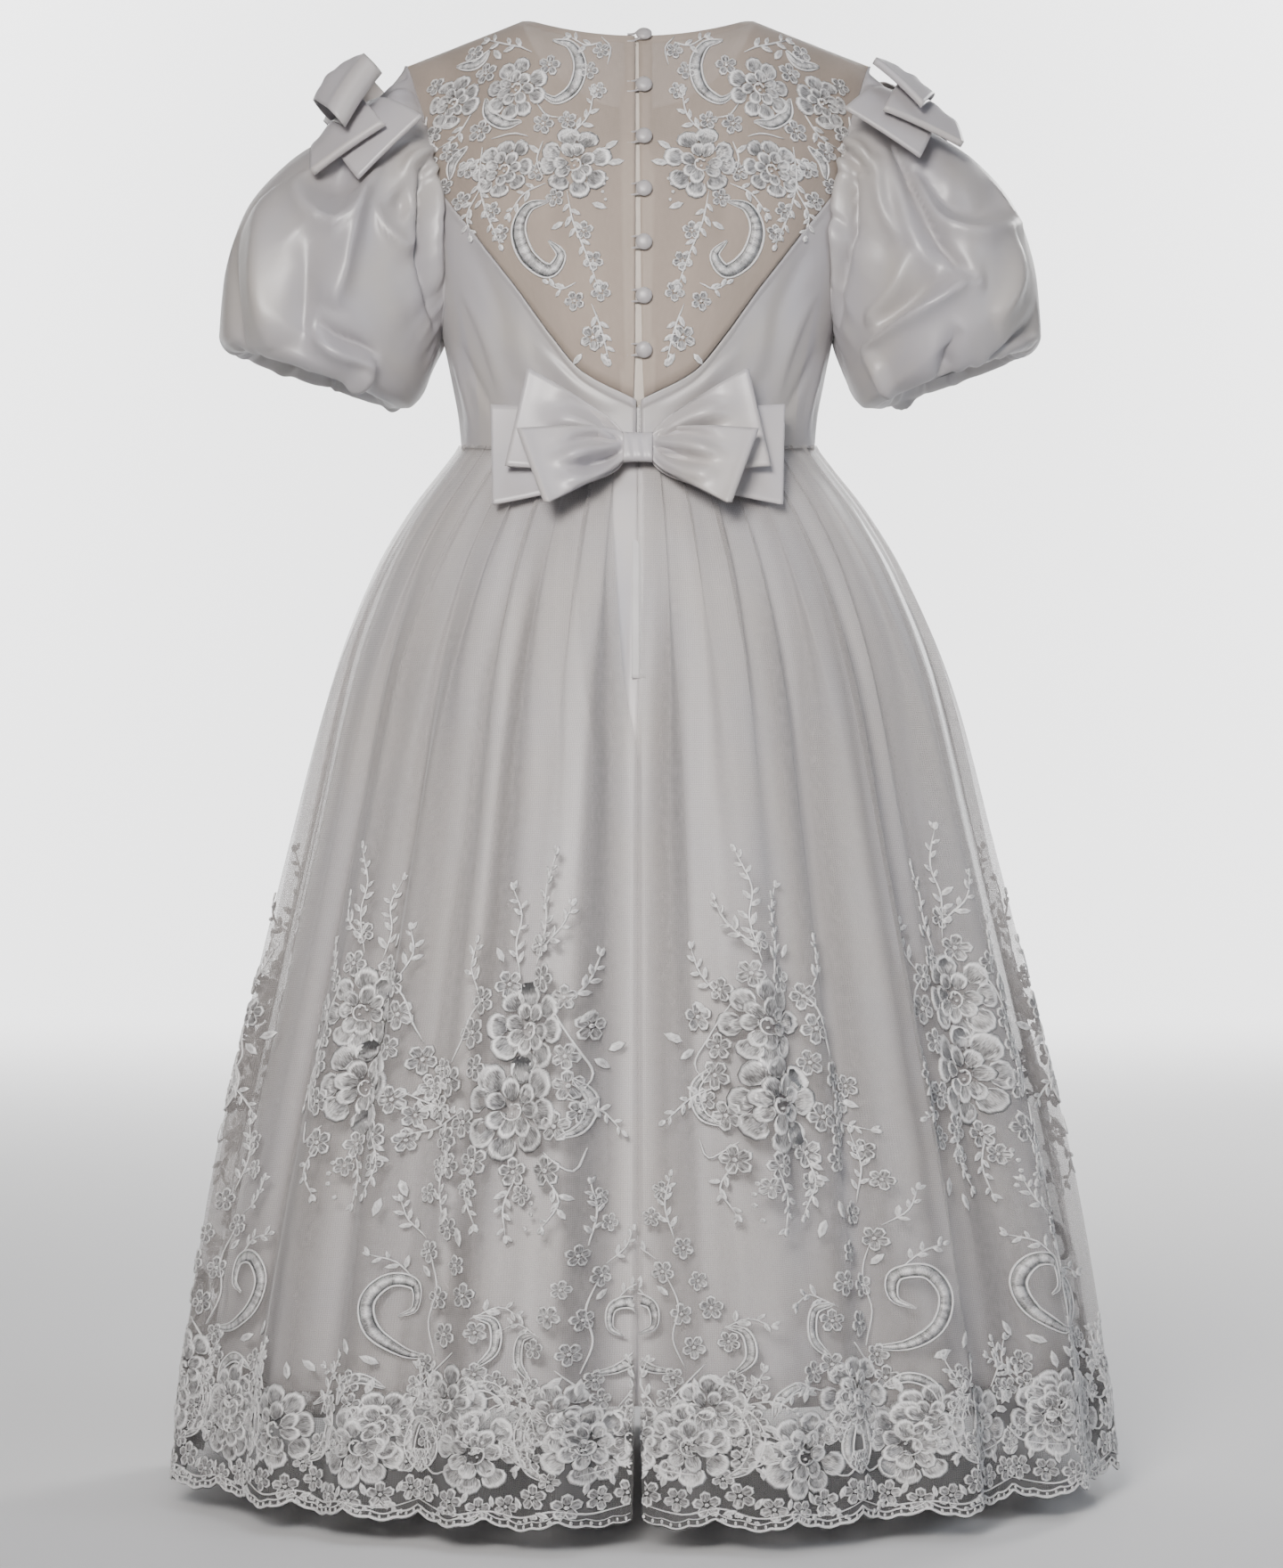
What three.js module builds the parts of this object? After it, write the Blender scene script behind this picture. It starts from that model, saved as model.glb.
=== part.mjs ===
// A child's communion dress, size 8, filled out as it is worn, with no wearer.
// Millimetres. +X is the wearer's right, +Y the front, +Z up. The origin lies midway
// between the two points where the shoulders meet the neck, which is where it hangs.
//
// Surfaces are laid out by "turn" and "drop". Turn is the angle round the body in degrees:
// 0 at the centre back, 90 at the wearer's right side, -90 at the left, 180 at the front.
// Drop is the distance below the shoulders.

import * as THREE from 'three';

// Walls and gaps
const satinWall = 1.2;
const meshWall = 1;
const tulleWall = 1;
// Each of two sewn edges stops this far short of its seam line: along a panel and at the waist
const edgePull = 0.36;
const waistPull = 0.6;
// Half of the gap along the shoulder seam, at the neck and at the tip
const shoulderSeamHalf = 0.33;
const shoulderTipHalf = 0.7;

// Shoulders and neck
const neckHalf = 78;
const shoulderTip = 155;
const shoulderFall = 30;
const backNeckDrop = 19;
const frontNeckDrop = 48;
const underarmDrop = 213;

// Centre back
const vPointDrop = 262;
const junctionTurn = 60; // where the satin V meets the armhole
const junctionDrop = 112;
const buttonCount = 7;
const buttonPitch = 35;
const buttonRadius = 5.7;

// Skirt
const hemDrop = 968;
const underskirtFall = 608;
const sideWaistDrop = 287;
const backWaistDip = 11;
const frontWaistDip = 4;

const torsoSections = [
  { drop: 0, halfWidth: 155, halfDepth: 0.3 },
  { drop: 6, halfWidth: 154, halfDepth: 36 },
  { drop: 19, halfWidth: 154, halfDepth: 56 },
  { drop: 40, halfWidth: 153, halfDepth: 69 },
  { drop: 70, halfWidth: 152, halfDepth: 80 },
  { drop: 105, halfWidth: 150, halfDepth: 89 },
  { drop: 150, halfWidth: 146, halfDepth: 96 },
  { drop: 213, halfWidth: 131, halfDepth: 98 },
  { drop: 242, halfWidth: 125, halfDepth: 96 },
  { drop: 270, halfWidth: 120, halfDepth: 93 },
  { drop: 300, halfWidth: 117.5, halfDepth: 92 },
];

// The edge of the satin on the back, and the two halves of the back of the armhole.
// The front of the armhole mirrors the back.
const backVee = [
  { turn: 0, drop: vPointDrop },
  { turn: 16.7, drop: 243 },
  { turn: 25.8, drop: 219 },
  { turn: 36.9, drop: 181 },
  { turn: 49, drop: 141 },
  { turn: junctionTurn, drop: junctionDrop },
];
const frontNeckEdge = [
  { turn: 0, drop: 124 },
  { turn: 40, drop: 120 },
  { turn: junctionTurn, drop: junctionDrop },
];
const lowerArmhole = [
  { along: 0, turn: junctionTurn, drop: junctionDrop },
  { along: 0.3, turn: 60.7, drop: 145 },
  { along: 0.6, turn: 66, drop: 180 },
  { along: 0.85, turn: 77, drop: 204 },
  { along: 1, turn: 90, drop: underarmDrop },
];
const upperArmhole = [
  { along: 0, turn: junctionTurn, drop: junctionDrop },
  { along: 0.35, turn: 64.5, drop: 72 },
  { along: 0.65, turn: 71.4, drop: 40 },
  { along: 0.88, turn: 79.5, drop: 14 },
  { along: 1, turn: 90, drop: 0 },
];

// Half width and half depth of the skirt below the waist seam, the depth of its soft folds,
// and how far the underskirt lies inside the overlay
const skirtSections = [
  { fall: 0, halfWidth: 117.5, halfDepth: 92, fold: 0, inset: 2 },
  { fall: 14, halfWidth: 128, halfDepth: 101, fold: 0.8, inset: 2.6 },
  { fall: 42, halfWidth: 149, halfDepth: 122, fold: 1.6, inset: 4 },
  { fall: 84, halfWidth: 173, halfDepth: 146, fold: 3, inset: 6 },
  { fall: 150, halfWidth: 198, halfDepth: 171, fold: 4.5, inset: 8 },
  { fall: 255, halfWidth: 223, halfDepth: 200, fold: 6, inset: 9 },
  { fall: 385, halfWidth: 253, halfDepth: 230, fold: 7.5, inset: 9 },
  { fall: 505, halfWidth: 280, halfDepth: 256, fold: 8.5, inset: 9 },
  { fall: underskirtFall, halfWidth: 298, halfDepth: 276, fold: 9, inset: 9 },
  { fall: hemDrop - sideWaistDrop, halfWidth: 307, halfDepth: 286, fold: 9.5, inset: 9 },
];
const skirtFolds = [
  { count: 13, share: 0.6, phase: 20 },
  { count: 8, share: 0.3, phase: 115 },
  { count: 5, share: 0.2, phase: 250 },
];
// The overlay's centre-back edges stand open below the waist and meet lower down
const overlaySlit = [
  { fall: 0, left: 15, right: 3 },
  { fall: 84, left: 13, right: 2.4 },
  { fall: 150, left: 9, right: 1.4 },
  { fall: 210, left: 0.4, right: 0.4 },
  { fall: 681, left: 0.4, right: 0.4 },
];
// The mesh edges stand a little apart over the underlap
const backOpening = [
  { drop: 0, left: 1.9, right: 0.3 },
  { drop: 120, left: 1.8, right: 1.4 },
  { drop: 230, left: 2.1, right: 2.8 },
  { drop: vPointDrop, left: 3, right: 4 },
];

// Rings of the puffed sleeve, from the armhole to the band: the outer and inner point of
// each ring seen from behind, measured from the middle of the dress, and its half depth
const sleeveRings = [
  { ring: 0, outerX: 157, outerZ: -33, innerX: 132, innerZ: -213, halfDepth: 50 },
  { ring: 1, outerX: 170, outerZ: -46, innerX: 136, innerZ: -226, halfDepth: 57 },
  { ring: 2, outerX: 194, outerZ: -69, innerX: 140, innerZ: -238, halfDepth: 65 },
  { ring: 3, outerX: 234, outerZ: -95, innerX: 144, innerZ: -248, halfDepth: 77 },
  { ring: 4, outerX: 264, outerZ: -130, innerX: 149, innerZ: -255, halfDepth: 85 },
  { ring: 5, outerX: 278, outerZ: -176, innerX: 155, innerZ: -259, halfDepth: 85 },
  { ring: 6, outerX: 281, outerZ: -212, innerX: 162, innerZ: -259, halfDepth: 74 },
  { ring: 7, outerX: 270, outerZ: -223, innerX: 169, innerZ: -254, halfDepth: 62 },
  { ring: 8, outerX: 256, outerZ: -217, innerX: 174, innerZ: -243, halfDepth: 47 },
];
const armholeScoop = 14;
const sleeveSides = [
  { name: 'left', side: -1, reach: 1, bowSlope: 43, bowAcross: 184, bowOut: 88.4, bowBend: 86 },
  { name: 'right', side: 1, reach: 0.93, bowSlope: 32, bowAcross: 185, bowOut: 50.6, bowBend: 100 },
];
const sleeveBand = { height: 12, wall: 1.6, gap: 0.6, below: 0.35, lean: 0.33 };
const armholeStandOff = { out: 1.75, lift: 0.25 };

// A bow is three flattened loops of satin, one on the other, held by a knot.
// Rise is how far the ends sit above the knot, bend how far they lean off the layer behind.
// Open is how far its two plies puff apart, and stack how far it lies in front of the back one.
const bowLayers = [
  { name: 'back', halfLength: 93, endWidth: 66, rise: -4, slant: 2, bend: 8, open: 5, stack: 0 },
  { name: 'middle', halfLength: 79, endWidth: 63, rise: 20, slant: -7, bend: -4, open: 8, stack: 4.2 },
  { name: 'front', halfLength: 69, endWidth: 48, rise: -15, slant: 9, bend: -24, open: 10, stack: 8.5 },
];
const bowPly = { pinchWidth: 15, pinchGap: 2, foldRadius: 1.6, wall: 1.2, stations: [0.42, 0.74] };
const knot = { halfLength: 9.5, halfHeight: 9.6, wall: 1.5, front: 10.9, back: 2.4, corner: 0.62 };
const knotCrown = { front: 1.6, back: 0.8, waist: 0.04 };
const waistBow = { drop: 294, stand: 99.5, lean: 0.35, leanCurve: 0.004 };
const waistBowCloth = { scale: 1, bendShare: 1, openShare: 1 };
const sleeveBowCloth = { scale: 0.88, bendShare: 0.6, openShare: 0.7 };

const colours = {
  satin: { color: 0xe9e8ea, roughness: 0.42, metalness: 0 },
  mesh: { color: 0xd8cbbf, roughness: 0.8, metalness: 0 },
  tulle: { color: 0xeeedee, roughness: 0.85, metalness: 0 },
  cream: { color: 0xe6ddd0, roughness: 0.7, metalness: 0 },
  zip: { color: 0xe4e2e0, roughness: 0.5, metalness: 0 },
};

const dress = new THREE.Group();

function addPiece(name, geometry, finish) {
  const piece = new THREE.Mesh(geometry, new THREE.MeshStandardMaterial(colours[finish]));
  piece.name = name;
  dress.add(piece);
  return piece;
}

// Reads a table smoothly: the result takes a value of the key column and gives the others
function reader(table, key) {
  const names = Object.keys(table[0]).filter((name) => name !== key);
  const curve = new THREE.CubicInterpolant(
    table.map((row) => row[key]),
    table.flatMap((row) => names.map((name) => row[name])),
    names.length,
  );
  return (at) => {
    const values = curve.evaluate(at);
    return Object.fromEntries(names.map((name, i) => [name, values[i]]));
  };
}

const torsoAt = reader(torsoSections, 'drop');
const skirtAt = reader(skirtSections, 'fall');
const slitAt = reader(overlaySlit, 'fall');
const openingAt = reader(backOpening, 'drop');
const veeAt = reader(backVee, 'turn');
const frontEdgeAt = reader(frontNeckEdge, 'turn');
const lowerArmholeAt = reader(lowerArmhole, 'along');
const upperArmholeAt = reader(upperArmhole, 'along');

const radians = THREE.MathUtils.degToRad;
const degrees = THREE.MathUtils.radToDeg;
const lerp = THREE.MathUtils.lerp;
const clamp = THREE.MathUtils.clamp;

function steps(count) {
  return Array.from({ length: count + 1 }, (_, i) => i / count);
}

// ---- The form of the body of the dress ----

function shoulderSlope(x, drop) {
  const outAlong = clamp((Math.abs(x) - neckHalf) / (shoulderTip - neckHalf), 0, 1);
  return shoulderFall * outAlong * clamp(1 - drop / underarmDrop, 0, 1);
}

function torsoPoint(turn, drop, inset = 0) {
  const ring = torsoAt(drop);
  const x = (ring.halfWidth - inset) * Math.sin(radians(turn));
  const y = -(ring.halfDepth - inset) * Math.cos(radians(turn));
  return new THREE.Vector3(x, y, -drop - shoulderSlope(x, drop));
}

function waistDrop(turn) {
  const towardsBack = Math.cos(radians(turn));
  const dip = towardsBack > 0 ? backWaistDip : frontWaistDip;
  return sideWaistDrop + dip * towardsBack ** 2;
}

function neckDrop(turn, lowest) {
  const x = torsoAt(backNeckDrop).halfWidth * Math.sin(radians(turn));
  const across = Math.min(Math.abs(x) / neckHalf, 1);
  return lowest * (1 - across ** 2) ** 0.8;
}

function foldAt(turn) {
  return skirtFolds.reduce(
    (sum, fold) => sum + fold.share * Math.sin(radians(fold.count * turn + fold.phase)),
    0,
  );
}

// A point of the skirt; depth 0 is the overlay and 1 the underskirt inside it
function skirtPoint(turn, fall, depth = 0, extraInset = 0) {
  const ring = skirtAt(fall);
  const out = ring.fold * foldAt(turn) - ring.inset * depth - extraInset;
  const x = (ring.halfWidth + out) * Math.sin(radians(turn));
  const y = -(ring.halfDepth + out) * Math.cos(radians(turn));
  const fullFall = hemDrop - sideWaistDrop;
  const stretch = (hemDrop - waistDrop(turn)) / fullFall;
  return new THREE.Vector3(x, y, -waistDrop(turn) - fall * stretch);
}

// ---- Turning a grid of points into a closed wall of cloth ----

function gridNormal(points, row, column, round) {
  const rows = points.length;
  const columns = points[0].length;
  const wrap = (c) => (round ? (c + columns) % columns : clamp(c, 0, columns - 1));
  const alongRow = points[row][wrap(column + 1)].clone().sub(points[row][wrap(column - 1)]);
  const above = points[Math.min(row + 1, rows - 1)][column];
  const below = points[Math.max(row - 1, 0)][column];
  return alongRow.cross(above.clone().sub(below)).normalize();
}

function signedVolume(positions, faces) {
  const [a, b, c] = [new THREE.Vector3(), new THREE.Vector3(), new THREE.Vector3()];
  let sum = 0;
  for (const face of faces) {
    [a, b, c].forEach((corner, i) => corner.fromArray(positions, 3 * face[i]));
    sum += a.dot(b.cross(c)) / 6;
  }
  return sum;
}

// points[row][column] is the middle of the cloth; a round wall closes its last column on its first
function wall(points, thickness, round = false) {
  const rows = points.length;
  const columns = points[0].length;
  const positions = [];
  for (const face of [0.5, -0.5]) {
    for (let row = 0; row < rows; row += 1) {
      for (let column = 0; column < columns; column += 1) {
        const normal = gridNormal(points, row, column, round);
        const point = points[row][column].clone().addScaledVector(normal, face * thickness);
        positions.push(point.x, point.y, point.z);
      }
    }
  }
  const at = (layer, row, column) => (layer * rows + row) * columns + (column % columns);
  const faces = [];
  const quad = (a, b, c, d) => faces.push([a, b, c], [a, c, d]);
  const spans = round ? columns : columns - 1;
  for (let column = 0; column < spans; column += 1) {
    const next = column + 1;
    for (let row = 0; row < rows - 1; row += 1) {
      quad(at(0, row, column), at(0, row, next), at(0, row + 1, next), at(0, row + 1, column));
      quad(at(1, row, column), at(1, row + 1, column), at(1, row + 1, next), at(1, row, next));
    }
    quad(at(0, 0, next), at(0, 0, column), at(1, 0, column), at(1, 0, next));
    const top = rows - 1;
    quad(at(0, top, column), at(0, top, next), at(1, top, next), at(1, top, column));
  }
  if (!round) {
    const last = columns - 1;
    for (let row = 0; row < rows - 1; row += 1) {
      quad(at(0, row, 0), at(0, row + 1, 0), at(1, row + 1, 0), at(1, row, 0));
      quad(at(0, row + 1, last), at(0, row, last), at(1, row, last), at(1, row + 1, last));
    }
  }
  if (signedVolume(positions, faces) < 0) {
    faces.forEach((face) => face.reverse());
  }
  const geometry = new THREE.BufferGeometry();
  geometry.setAttribute('position', new THREE.Float32BufferAttribute(positions, 3));
  geometry.setIndex(faces.flat());
  geometry.computeVertexNormals();
  return geometry;
}

// Draws the named edges of a panel in from its seam lines
function pullEdges(points, edges) {
  const rows = points.length;
  const columns = points[0].length;
  const shift = (edge, inner, distance) => {
    const step = inner.clone().sub(edge);
    edge.addScaledVector(step.normalize(), distance);
  };
  points.forEach((row) => {
    if (edges.start) shift(row[0], row[1], edges.start);
    if (edges.end) shift(row[columns - 1], row[columns - 2], edges.end);
  });
  for (let column = 0; column < columns; column += 1) {
    if (edges.bottom) shift(points[0][column], points[1][column], edges.bottom);
    if (edges.top) shift(points[rows - 1][column], points[rows - 2][column], edges.top);
  }
  return points;
}

// ---- Bodice and yoke ----

const veeSteps = 8;
const armholeSteps = 5;
const bodiceRows = 5;
const lowerArmholeTurns = steps(armholeSteps).map((along) => lowerArmholeAt(along));
// Rows of the yoke crowd towards the shoulder, where the form turns over
const yokeRows = steps(armholeSteps + 1).map((row) => Math.sin((row * Math.PI) / 2));
const upperArmholeTurns = yokeRows.map((along) => upperArmholeAt(along));

// Turn and drop of the satin's upper edge from the centre to the side
function satinEdge(edgeAt, firstTurn) {
  const vee = steps(veeSteps).map((along) => {
    const turn = Math.max(along * junctionTurn, firstTurn);
    return { turn, drop: edgeAt(turn).drop };
  });
  return [...vee, ...lowerArmholeTurns.slice(1)];
}

// Front panels count their turn from the centre front
function onForm(turn, drop, side, front) {
  return torsoPoint(side * (front ? 180 - turn : turn), drop);
}

// The turn of a centre-back edge that lies this many millimetres off the middle
function edgeTurn(offset, halfWidth) {
  return degrees(Math.asin(offset / halfWidth));
}

// The invisible zip pulls the satin edges together a little to the wearer's right
const zipEdge = { left: -1.1, right: 1.9 };

function bodiceHalf(side, front) {
  const offset = front ? 0 : zipEdge[side < 0 ? 'left' : 'right'];
  const firstTurn = edgeTurn(offset, torsoAt(vPointDrop).halfWidth);
  const edge = satinEdge(front ? frontEdgeAt : veeAt, firstTurn);
  if (firstTurn < 0) edge[0].turn = firstTurn;
  return steps(bodiceRows).map((row) => edge.map(({ turn, drop }) => (
    onForm(turn, lerp(waistDrop(front ? 180 - turn : turn), drop, row), side, front)
  )));
}

// The upper edge of the yoke follows the neckline to the neck point, then the shoulder seam
const neckTurn = edgeTurn(neckHalf, torsoAt(backNeckDrop).halfWidth);
const neckShare = 3 / veeSteps;

function shoulderTurn(across) {
  if (across <= neckShare) return (across / neckShare) * neckTurn;
  return lerp(neckTurn, 90, (across - neckShare) / (1 - neckShare));
}

function yokeHalf(side, front) {
  const lowest = front ? frontNeckDrop : backNeckDrop;
  const edgeDrop = (turn) => (front ? frontEdgeAt(turn) : veeAt(turn)).drop;
  const opening = backOpening.at(-1)[side < 0 ? 'left' : 'right'];
  const firstTurn = front ? 0 : edgeTurn(opening, torsoAt(vPointDrop).halfWidth);
  return yokeRows.map((row, index) => {
    const armhole = upperArmholeTurns[index];
    return steps(veeSteps).map((across) => {
      const bottomTurn = Math.max(across * junctionTurn, firstTurn);
      const topTurn = shoulderTurn(across);
      // Blend of the two edges and the two sides, less the blend of the corners
      const blendTurn = lerp(bottomTurn, topTurn, row);
      const blendDrop = lerp(edgeDrop(bottomTurn), neckDrop(topTurn, lowest), row);
      const cornerTurn = lerp(junctionTurn, 90, row);
      const cornerDrop = lerp(junctionDrop, 0, row);
      const turn = blendTurn + across * (armhole.turn - cornerTurn);
      const drop = blendDrop + across * (armhole.drop - cornerDrop);
      const edge = openingAt(drop)[side < 0 ? 'left' : 'right'];
      const openingTurn = edgeTurn(edge, torsoAt(drop).halfWidth);
      const point = onForm(!front && across === 0 ? openingTurn : turn, drop, side, front);
      const seamHalf = lerp(shoulderSeamHalf, shoulderTipHalf, across ** 4);
      const clearOfSeam = Math.max(Math.abs(point.y), seamHalf);
      point.y = front ? clearOfSeam : -clearOfSeam;
      return point;
    });
  });
}

function joinHalves(left, right) {
  return left.map((row, i) => [...row.slice(1).reverse(), ...right[i]]);
}

const yokeBacks = {};
for (const { name, side } of sleeveSides) {
  const bodice = pullEdges(bodiceHalf(side, false), { end: edgePull, bottom: edgePull, top: edgePull });
  addPiece(`bodice_back_${name}`, wall(bodice, satinWall), 'satin');
  yokeBacks[name] = pullEdges(yokeHalf(side, false), { bottom: edgePull });
  addPiece(`yoke_back_${name}`, wall(yokeBacks[name], meshWall), 'mesh');
}
const wholeFront = joinHalves(bodiceHalf(-1, true), bodiceHalf(1, true));
pullEdges(wholeFront, { start: edgePull, end: edgePull, bottom: edgePull, top: edgePull });
addPiece('bodice_front', wall(wholeFront, satinWall), 'satin');
const wholeYoke = joinHalves(yokeHalf(-1, true), yokeHalf(1, true));
pullEdges(wholeYoke, { bottom: edgePull });
addPiece('yoke_front', wall(wholeYoke, meshWall), 'mesh');

// ---- Centre back: underlap, buttons, loops and zip ----

const underlap = { halfWidth: 8, middle: 0.5, veeClear: 3, gap: 0.9 };
const underlapPoints = yokeRows.map((row) => {
  const drop = lerp(vPointDrop - underlap.veeClear, backNeckDrop, row);
  return [-1, 0, 1].map((across) => {
    const x = underlap.middle + across * underlap.halfWidth;
    return torsoPoint(edgeTurn(x, torsoAt(drop).halfWidth), drop, meshWall + underlap.gap);
  });
});
addPiece('button_underlap', wall(underlapPoints, meshWall), 'cream');

// A covered button: a narrow shank, a full cap with a rounded edge and a low dome
const buttonProfile = [
  { radius: 0, height: 0 },
  { radius: 2.4, height: 0 },
  { radius: 2.4, height: 2.5 },
  { radius: buttonRadius - 0.6, height: 2.6 },
  { radius: buttonRadius, height: 3.5 },
  { radius: buttonRadius - 1.2, height: 4.8 },
  { radius: 0, height: 5.6 },
];
const buttonSides = 12;
const firstButtonDrop = 20;
const buttonOffset = 4; // the buttons stand on the right edge, this far off the middle
const buttonGap = 0.4;
const loopTube = { radius: 0.8, sides: 6, height: 1.15, bendRadius: 3.7, bendSteps: 4, legLength: 11 };

// A point of a back panel in its first column of cloth, this far across and at this height
function besideOpening(points, x, z) {
  const above = points.findIndex((row) => row[0].z > z);
  const upper = above < 0 ? points.length - 1 : Math.max(above, 1);
  const [low, high] = [points[upper - 1], points[upper]].map(([edge, next]) => (
    edge.clone().lerp(next, (x - edge.x) / (next.x - edge.x))
  ));
  return low.lerp(high, (z - low.z) / (high.z - low.z));
}

for (let index = 0; index < buttonCount; index += 1) {
  const z = -firstButtonDrop - index * buttonPitch;
  const seat = besideOpening(yokeBacks.right, buttonOffset, z);
  const upward = besideOpening(yokeBacks.right, buttonOffset, z + 3).sub(seat).normalize();
  const outward = new THREE.Vector3(1, 0, 0).cross(upward).normalize();
  const lathe = new THREE.LatheGeometry(
    buttonProfile.map(({ radius, height }) => new THREE.Vector2(radius, height)),
    buttonSides,
  );
  const toWorld = new THREE.Matrix4().makeBasis(new THREE.Vector3(1, 0, 0), outward, upward.clone().negate());
  toWorld.setPosition(seat.clone().addScaledVector(outward, meshWall / 2 + buttonGap));
  const button = addPiece(`button_${index + 1}`, lathe, 'satin');
  button.applyMatrix4(toWorld);

  // The loop comes from the left edge, round the shank and back, under the cap
  const { bendRadius, bendSteps, legLength, height } = loopTube;
  const local = (x, z) => new THREE.Vector3(x, height, z);
  const around = steps(bendSteps).map((along) => {
    const angle = radians(lerp(-90, 90, along));
    return local(bendRadius * Math.cos(angle), bendRadius * Math.sin(angle));
  });
  const path = [
    local(-legLength, -bendRadius),
    ...around,
    local(-legLength, bendRadius),
  ];
  addPiece(`button_loop_${index + 1}`, tube(path, loopTube.radius, loopTube.sides), 'satin')
    .applyMatrix4(toWorld);
}

// A closed tube with flat ends along a path that lies in a plane of constant height
function tube(path, radius, sides) {
  const upward = new THREE.Vector3(0, 1, 0);
  const rings = path.map((point, i) => {
    const before = path[Math.max(i - 1, 0)];
    const after = path[Math.min(i + 1, path.length - 1)];
    const along = after.clone().sub(before).normalize();
    const across = along.clone().cross(upward);
    return steps(sides).slice(1).map((step) => {
      const angle = step * 2 * Math.PI;
      return point.clone()
        .addScaledVector(across, radius * Math.cos(angle))
        .addScaledVector(upward, radius * Math.sin(angle));
    });
  });
  const positions = rings.flat().concat(path[0], path.at(-1)).flatMap((p) => p.toArray());
  const faces = [];
  const startCentre = rings.length * sides;
  const lastRing = (rings.length - 1) * sides;
  for (let side = 0; side < sides; side += 1) {
    const next = (side + 1) % sides;
    for (let ring = 0; ring < rings.length - 1; ring += 1) {
      const [a, b] = [ring * sides + side, ring * sides + next];
      faces.push([a, b, b + sides], [a, b + sides, a + sides]);
    }
    faces.push([startCentre, next, side], [startCentre + 1, lastRing + side, lastRing + next]);
  }
  if (signedVolume(positions, faces) < 0) {
    faces.forEach((face) => face.reverse());
  }
  const geometry = new THREE.BufferGeometry();
  geometry.setAttribute('position', new THREE.Float32BufferAttribute(positions, 3));
  geometry.setIndex(faces.flat());
  geometry.computeVertexNormals();
  return geometry;
}

// ---- Skirts ----

const quarterColumns = 13;
const overlayRows = skirtSections.map((row) => row.fall);
const underskirtRows = overlayRows.filter((fall) => fall <= underskirtFall);

function skirtHalf(side, front, depth) {
  const falls = depth ? underskirtRows : overlayRows;
  return [...falls].reverse().map((fall) => steps(quarterColumns).map((across) => {
    const slit = Math.max(slitAt(fall)[side < 0 ? 'left' : 'right'], overlaySlit.at(-1).left);
    const edge = front || depth ? 0 : edgeTurn(slit, skirtAt(fall).halfWidth);
    const turn = lerp(edge, 90, across);
    return skirtPoint(side * (front ? 180 - turn : turn), fall, depth);
  }));
}

const skirts = [
  { name: 'overlay', depth: 0, thickness: tulleWall, finish: 'tulle' },
  { name: 'underskirt', depth: 1, thickness: satinWall, finish: 'satin' },
];
for (const { name, depth, thickness, finish } of skirts) {
  for (const { name: sideName, side } of sleeveSides) {
    const centre = depth ? edgePull : 0;
    const half = pullEdges(skirtHalf(side, false, depth), { start: centre, end: edgePull, top: waistPull });
    addPiece(`${name}_back_${sideName}`, wall(half, thickness), finish);
  }
  const front = joinHalves(skirtHalf(-1, true, depth), skirtHalf(1, true, depth));
  pullEdges(front, { start: edgePull, end: edgePull, top: waistPull });
  addPiece(`${name}_front`, wall(front, thickness), finish);
}

// The closed invisible zip lies behind the centre-back edges, from the V down past the waist
const zip = { halfWidth: 5, middle: 1.4, topDrop: 264, midway: 0.4, lastFall: 150, wall: 1.2, inset: 2.4 };
const zipRow = (place) => [-1, 1].map((across) => place(zip.middle + across * zip.halfWidth));
const zipFalls = overlayRows.filter((fall) => fall <= zip.lastFall).reverse();
const zipSkirtRows = zipFalls.map((fall) => zipRow((x) => (
  skirtPoint(edgeTurn(x, skirtAt(fall).halfWidth), fall, 1, zip.inset)
)));
const zipBodiceRows = [zip.midway, 1].map((along) => zipRow((x) => {
  const drop = lerp(waistDrop(0), zip.topDrop, along);
  return torsoPoint(edgeTurn(x, torsoAt(drop).halfWidth), drop, zip.inset);
}));
addPiece('zip', wall([...zipSkirtRows, ...zipBodiceRows], zip.wall), 'zip');

// ---- Sleeves ----

const ringAt = reader(sleeveRings, 'ring');
const sleeveRows = [0, 0.7, 1.6, 2.6, 3.8, 5, 6, 7, 8];

// The armhole as one closed loop, on the very points where the panels end
function armholeLoop(side) {
  const back = [...lowerArmholeTurns].reverse().concat(upperArmholeTurns.slice(1));
  const front = [...upperArmholeTurns].reverse().slice(1).concat(lowerArmholeTurns.slice(1, -1));
  return [
    ...back.map(({ turn, drop }) => onForm(turn, drop, side, false)),
    ...front.map(({ turn, drop }) => onForm(turn, drop, side, true)),
  ];
}

function sleevePoint(ring, angle, side, reach) {
  const { outerX, outerZ, innerX, innerZ, halfDepth } = ringAt(ring);
  const stretched = (x) => sleeveRings[0].innerX + (x - sleeveRings[0].innerX) * reach;
  const outer = new THREE.Vector3(side * stretched(outerX), 0, outerZ);
  const inner = new THREE.Vector3(side * stretched(innerX), 0, innerZ);
  const point = outer.clone().add(inner).multiplyScalar(0.5);
  point.addScaledVector(outer.sub(inner), Math.cos(angle) / 2);
  point.y += halfDepth * Math.sin(angle);
  const scoop = armholeScoop * clamp(1 - ring / 2, 0, 1) * Math.sin(angle) ** 2;
  point.x -= side * scoop;
  return point;
}

// Angle of an armhole point round its ring: 0 at the shoulder, 180 under the arm
function armholeAngle(point) {
  const middleZ = (sleeveRings[0].outerZ + sleeveRings[0].innerZ) / 2;
  const halfHeight = (sleeveRings[0].outerZ - sleeveRings[0].innerZ) / 2;
  return Math.atan2(point.y / sleeveRings[0].halfDepth, (point.z - middleZ) / halfHeight);
}

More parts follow.
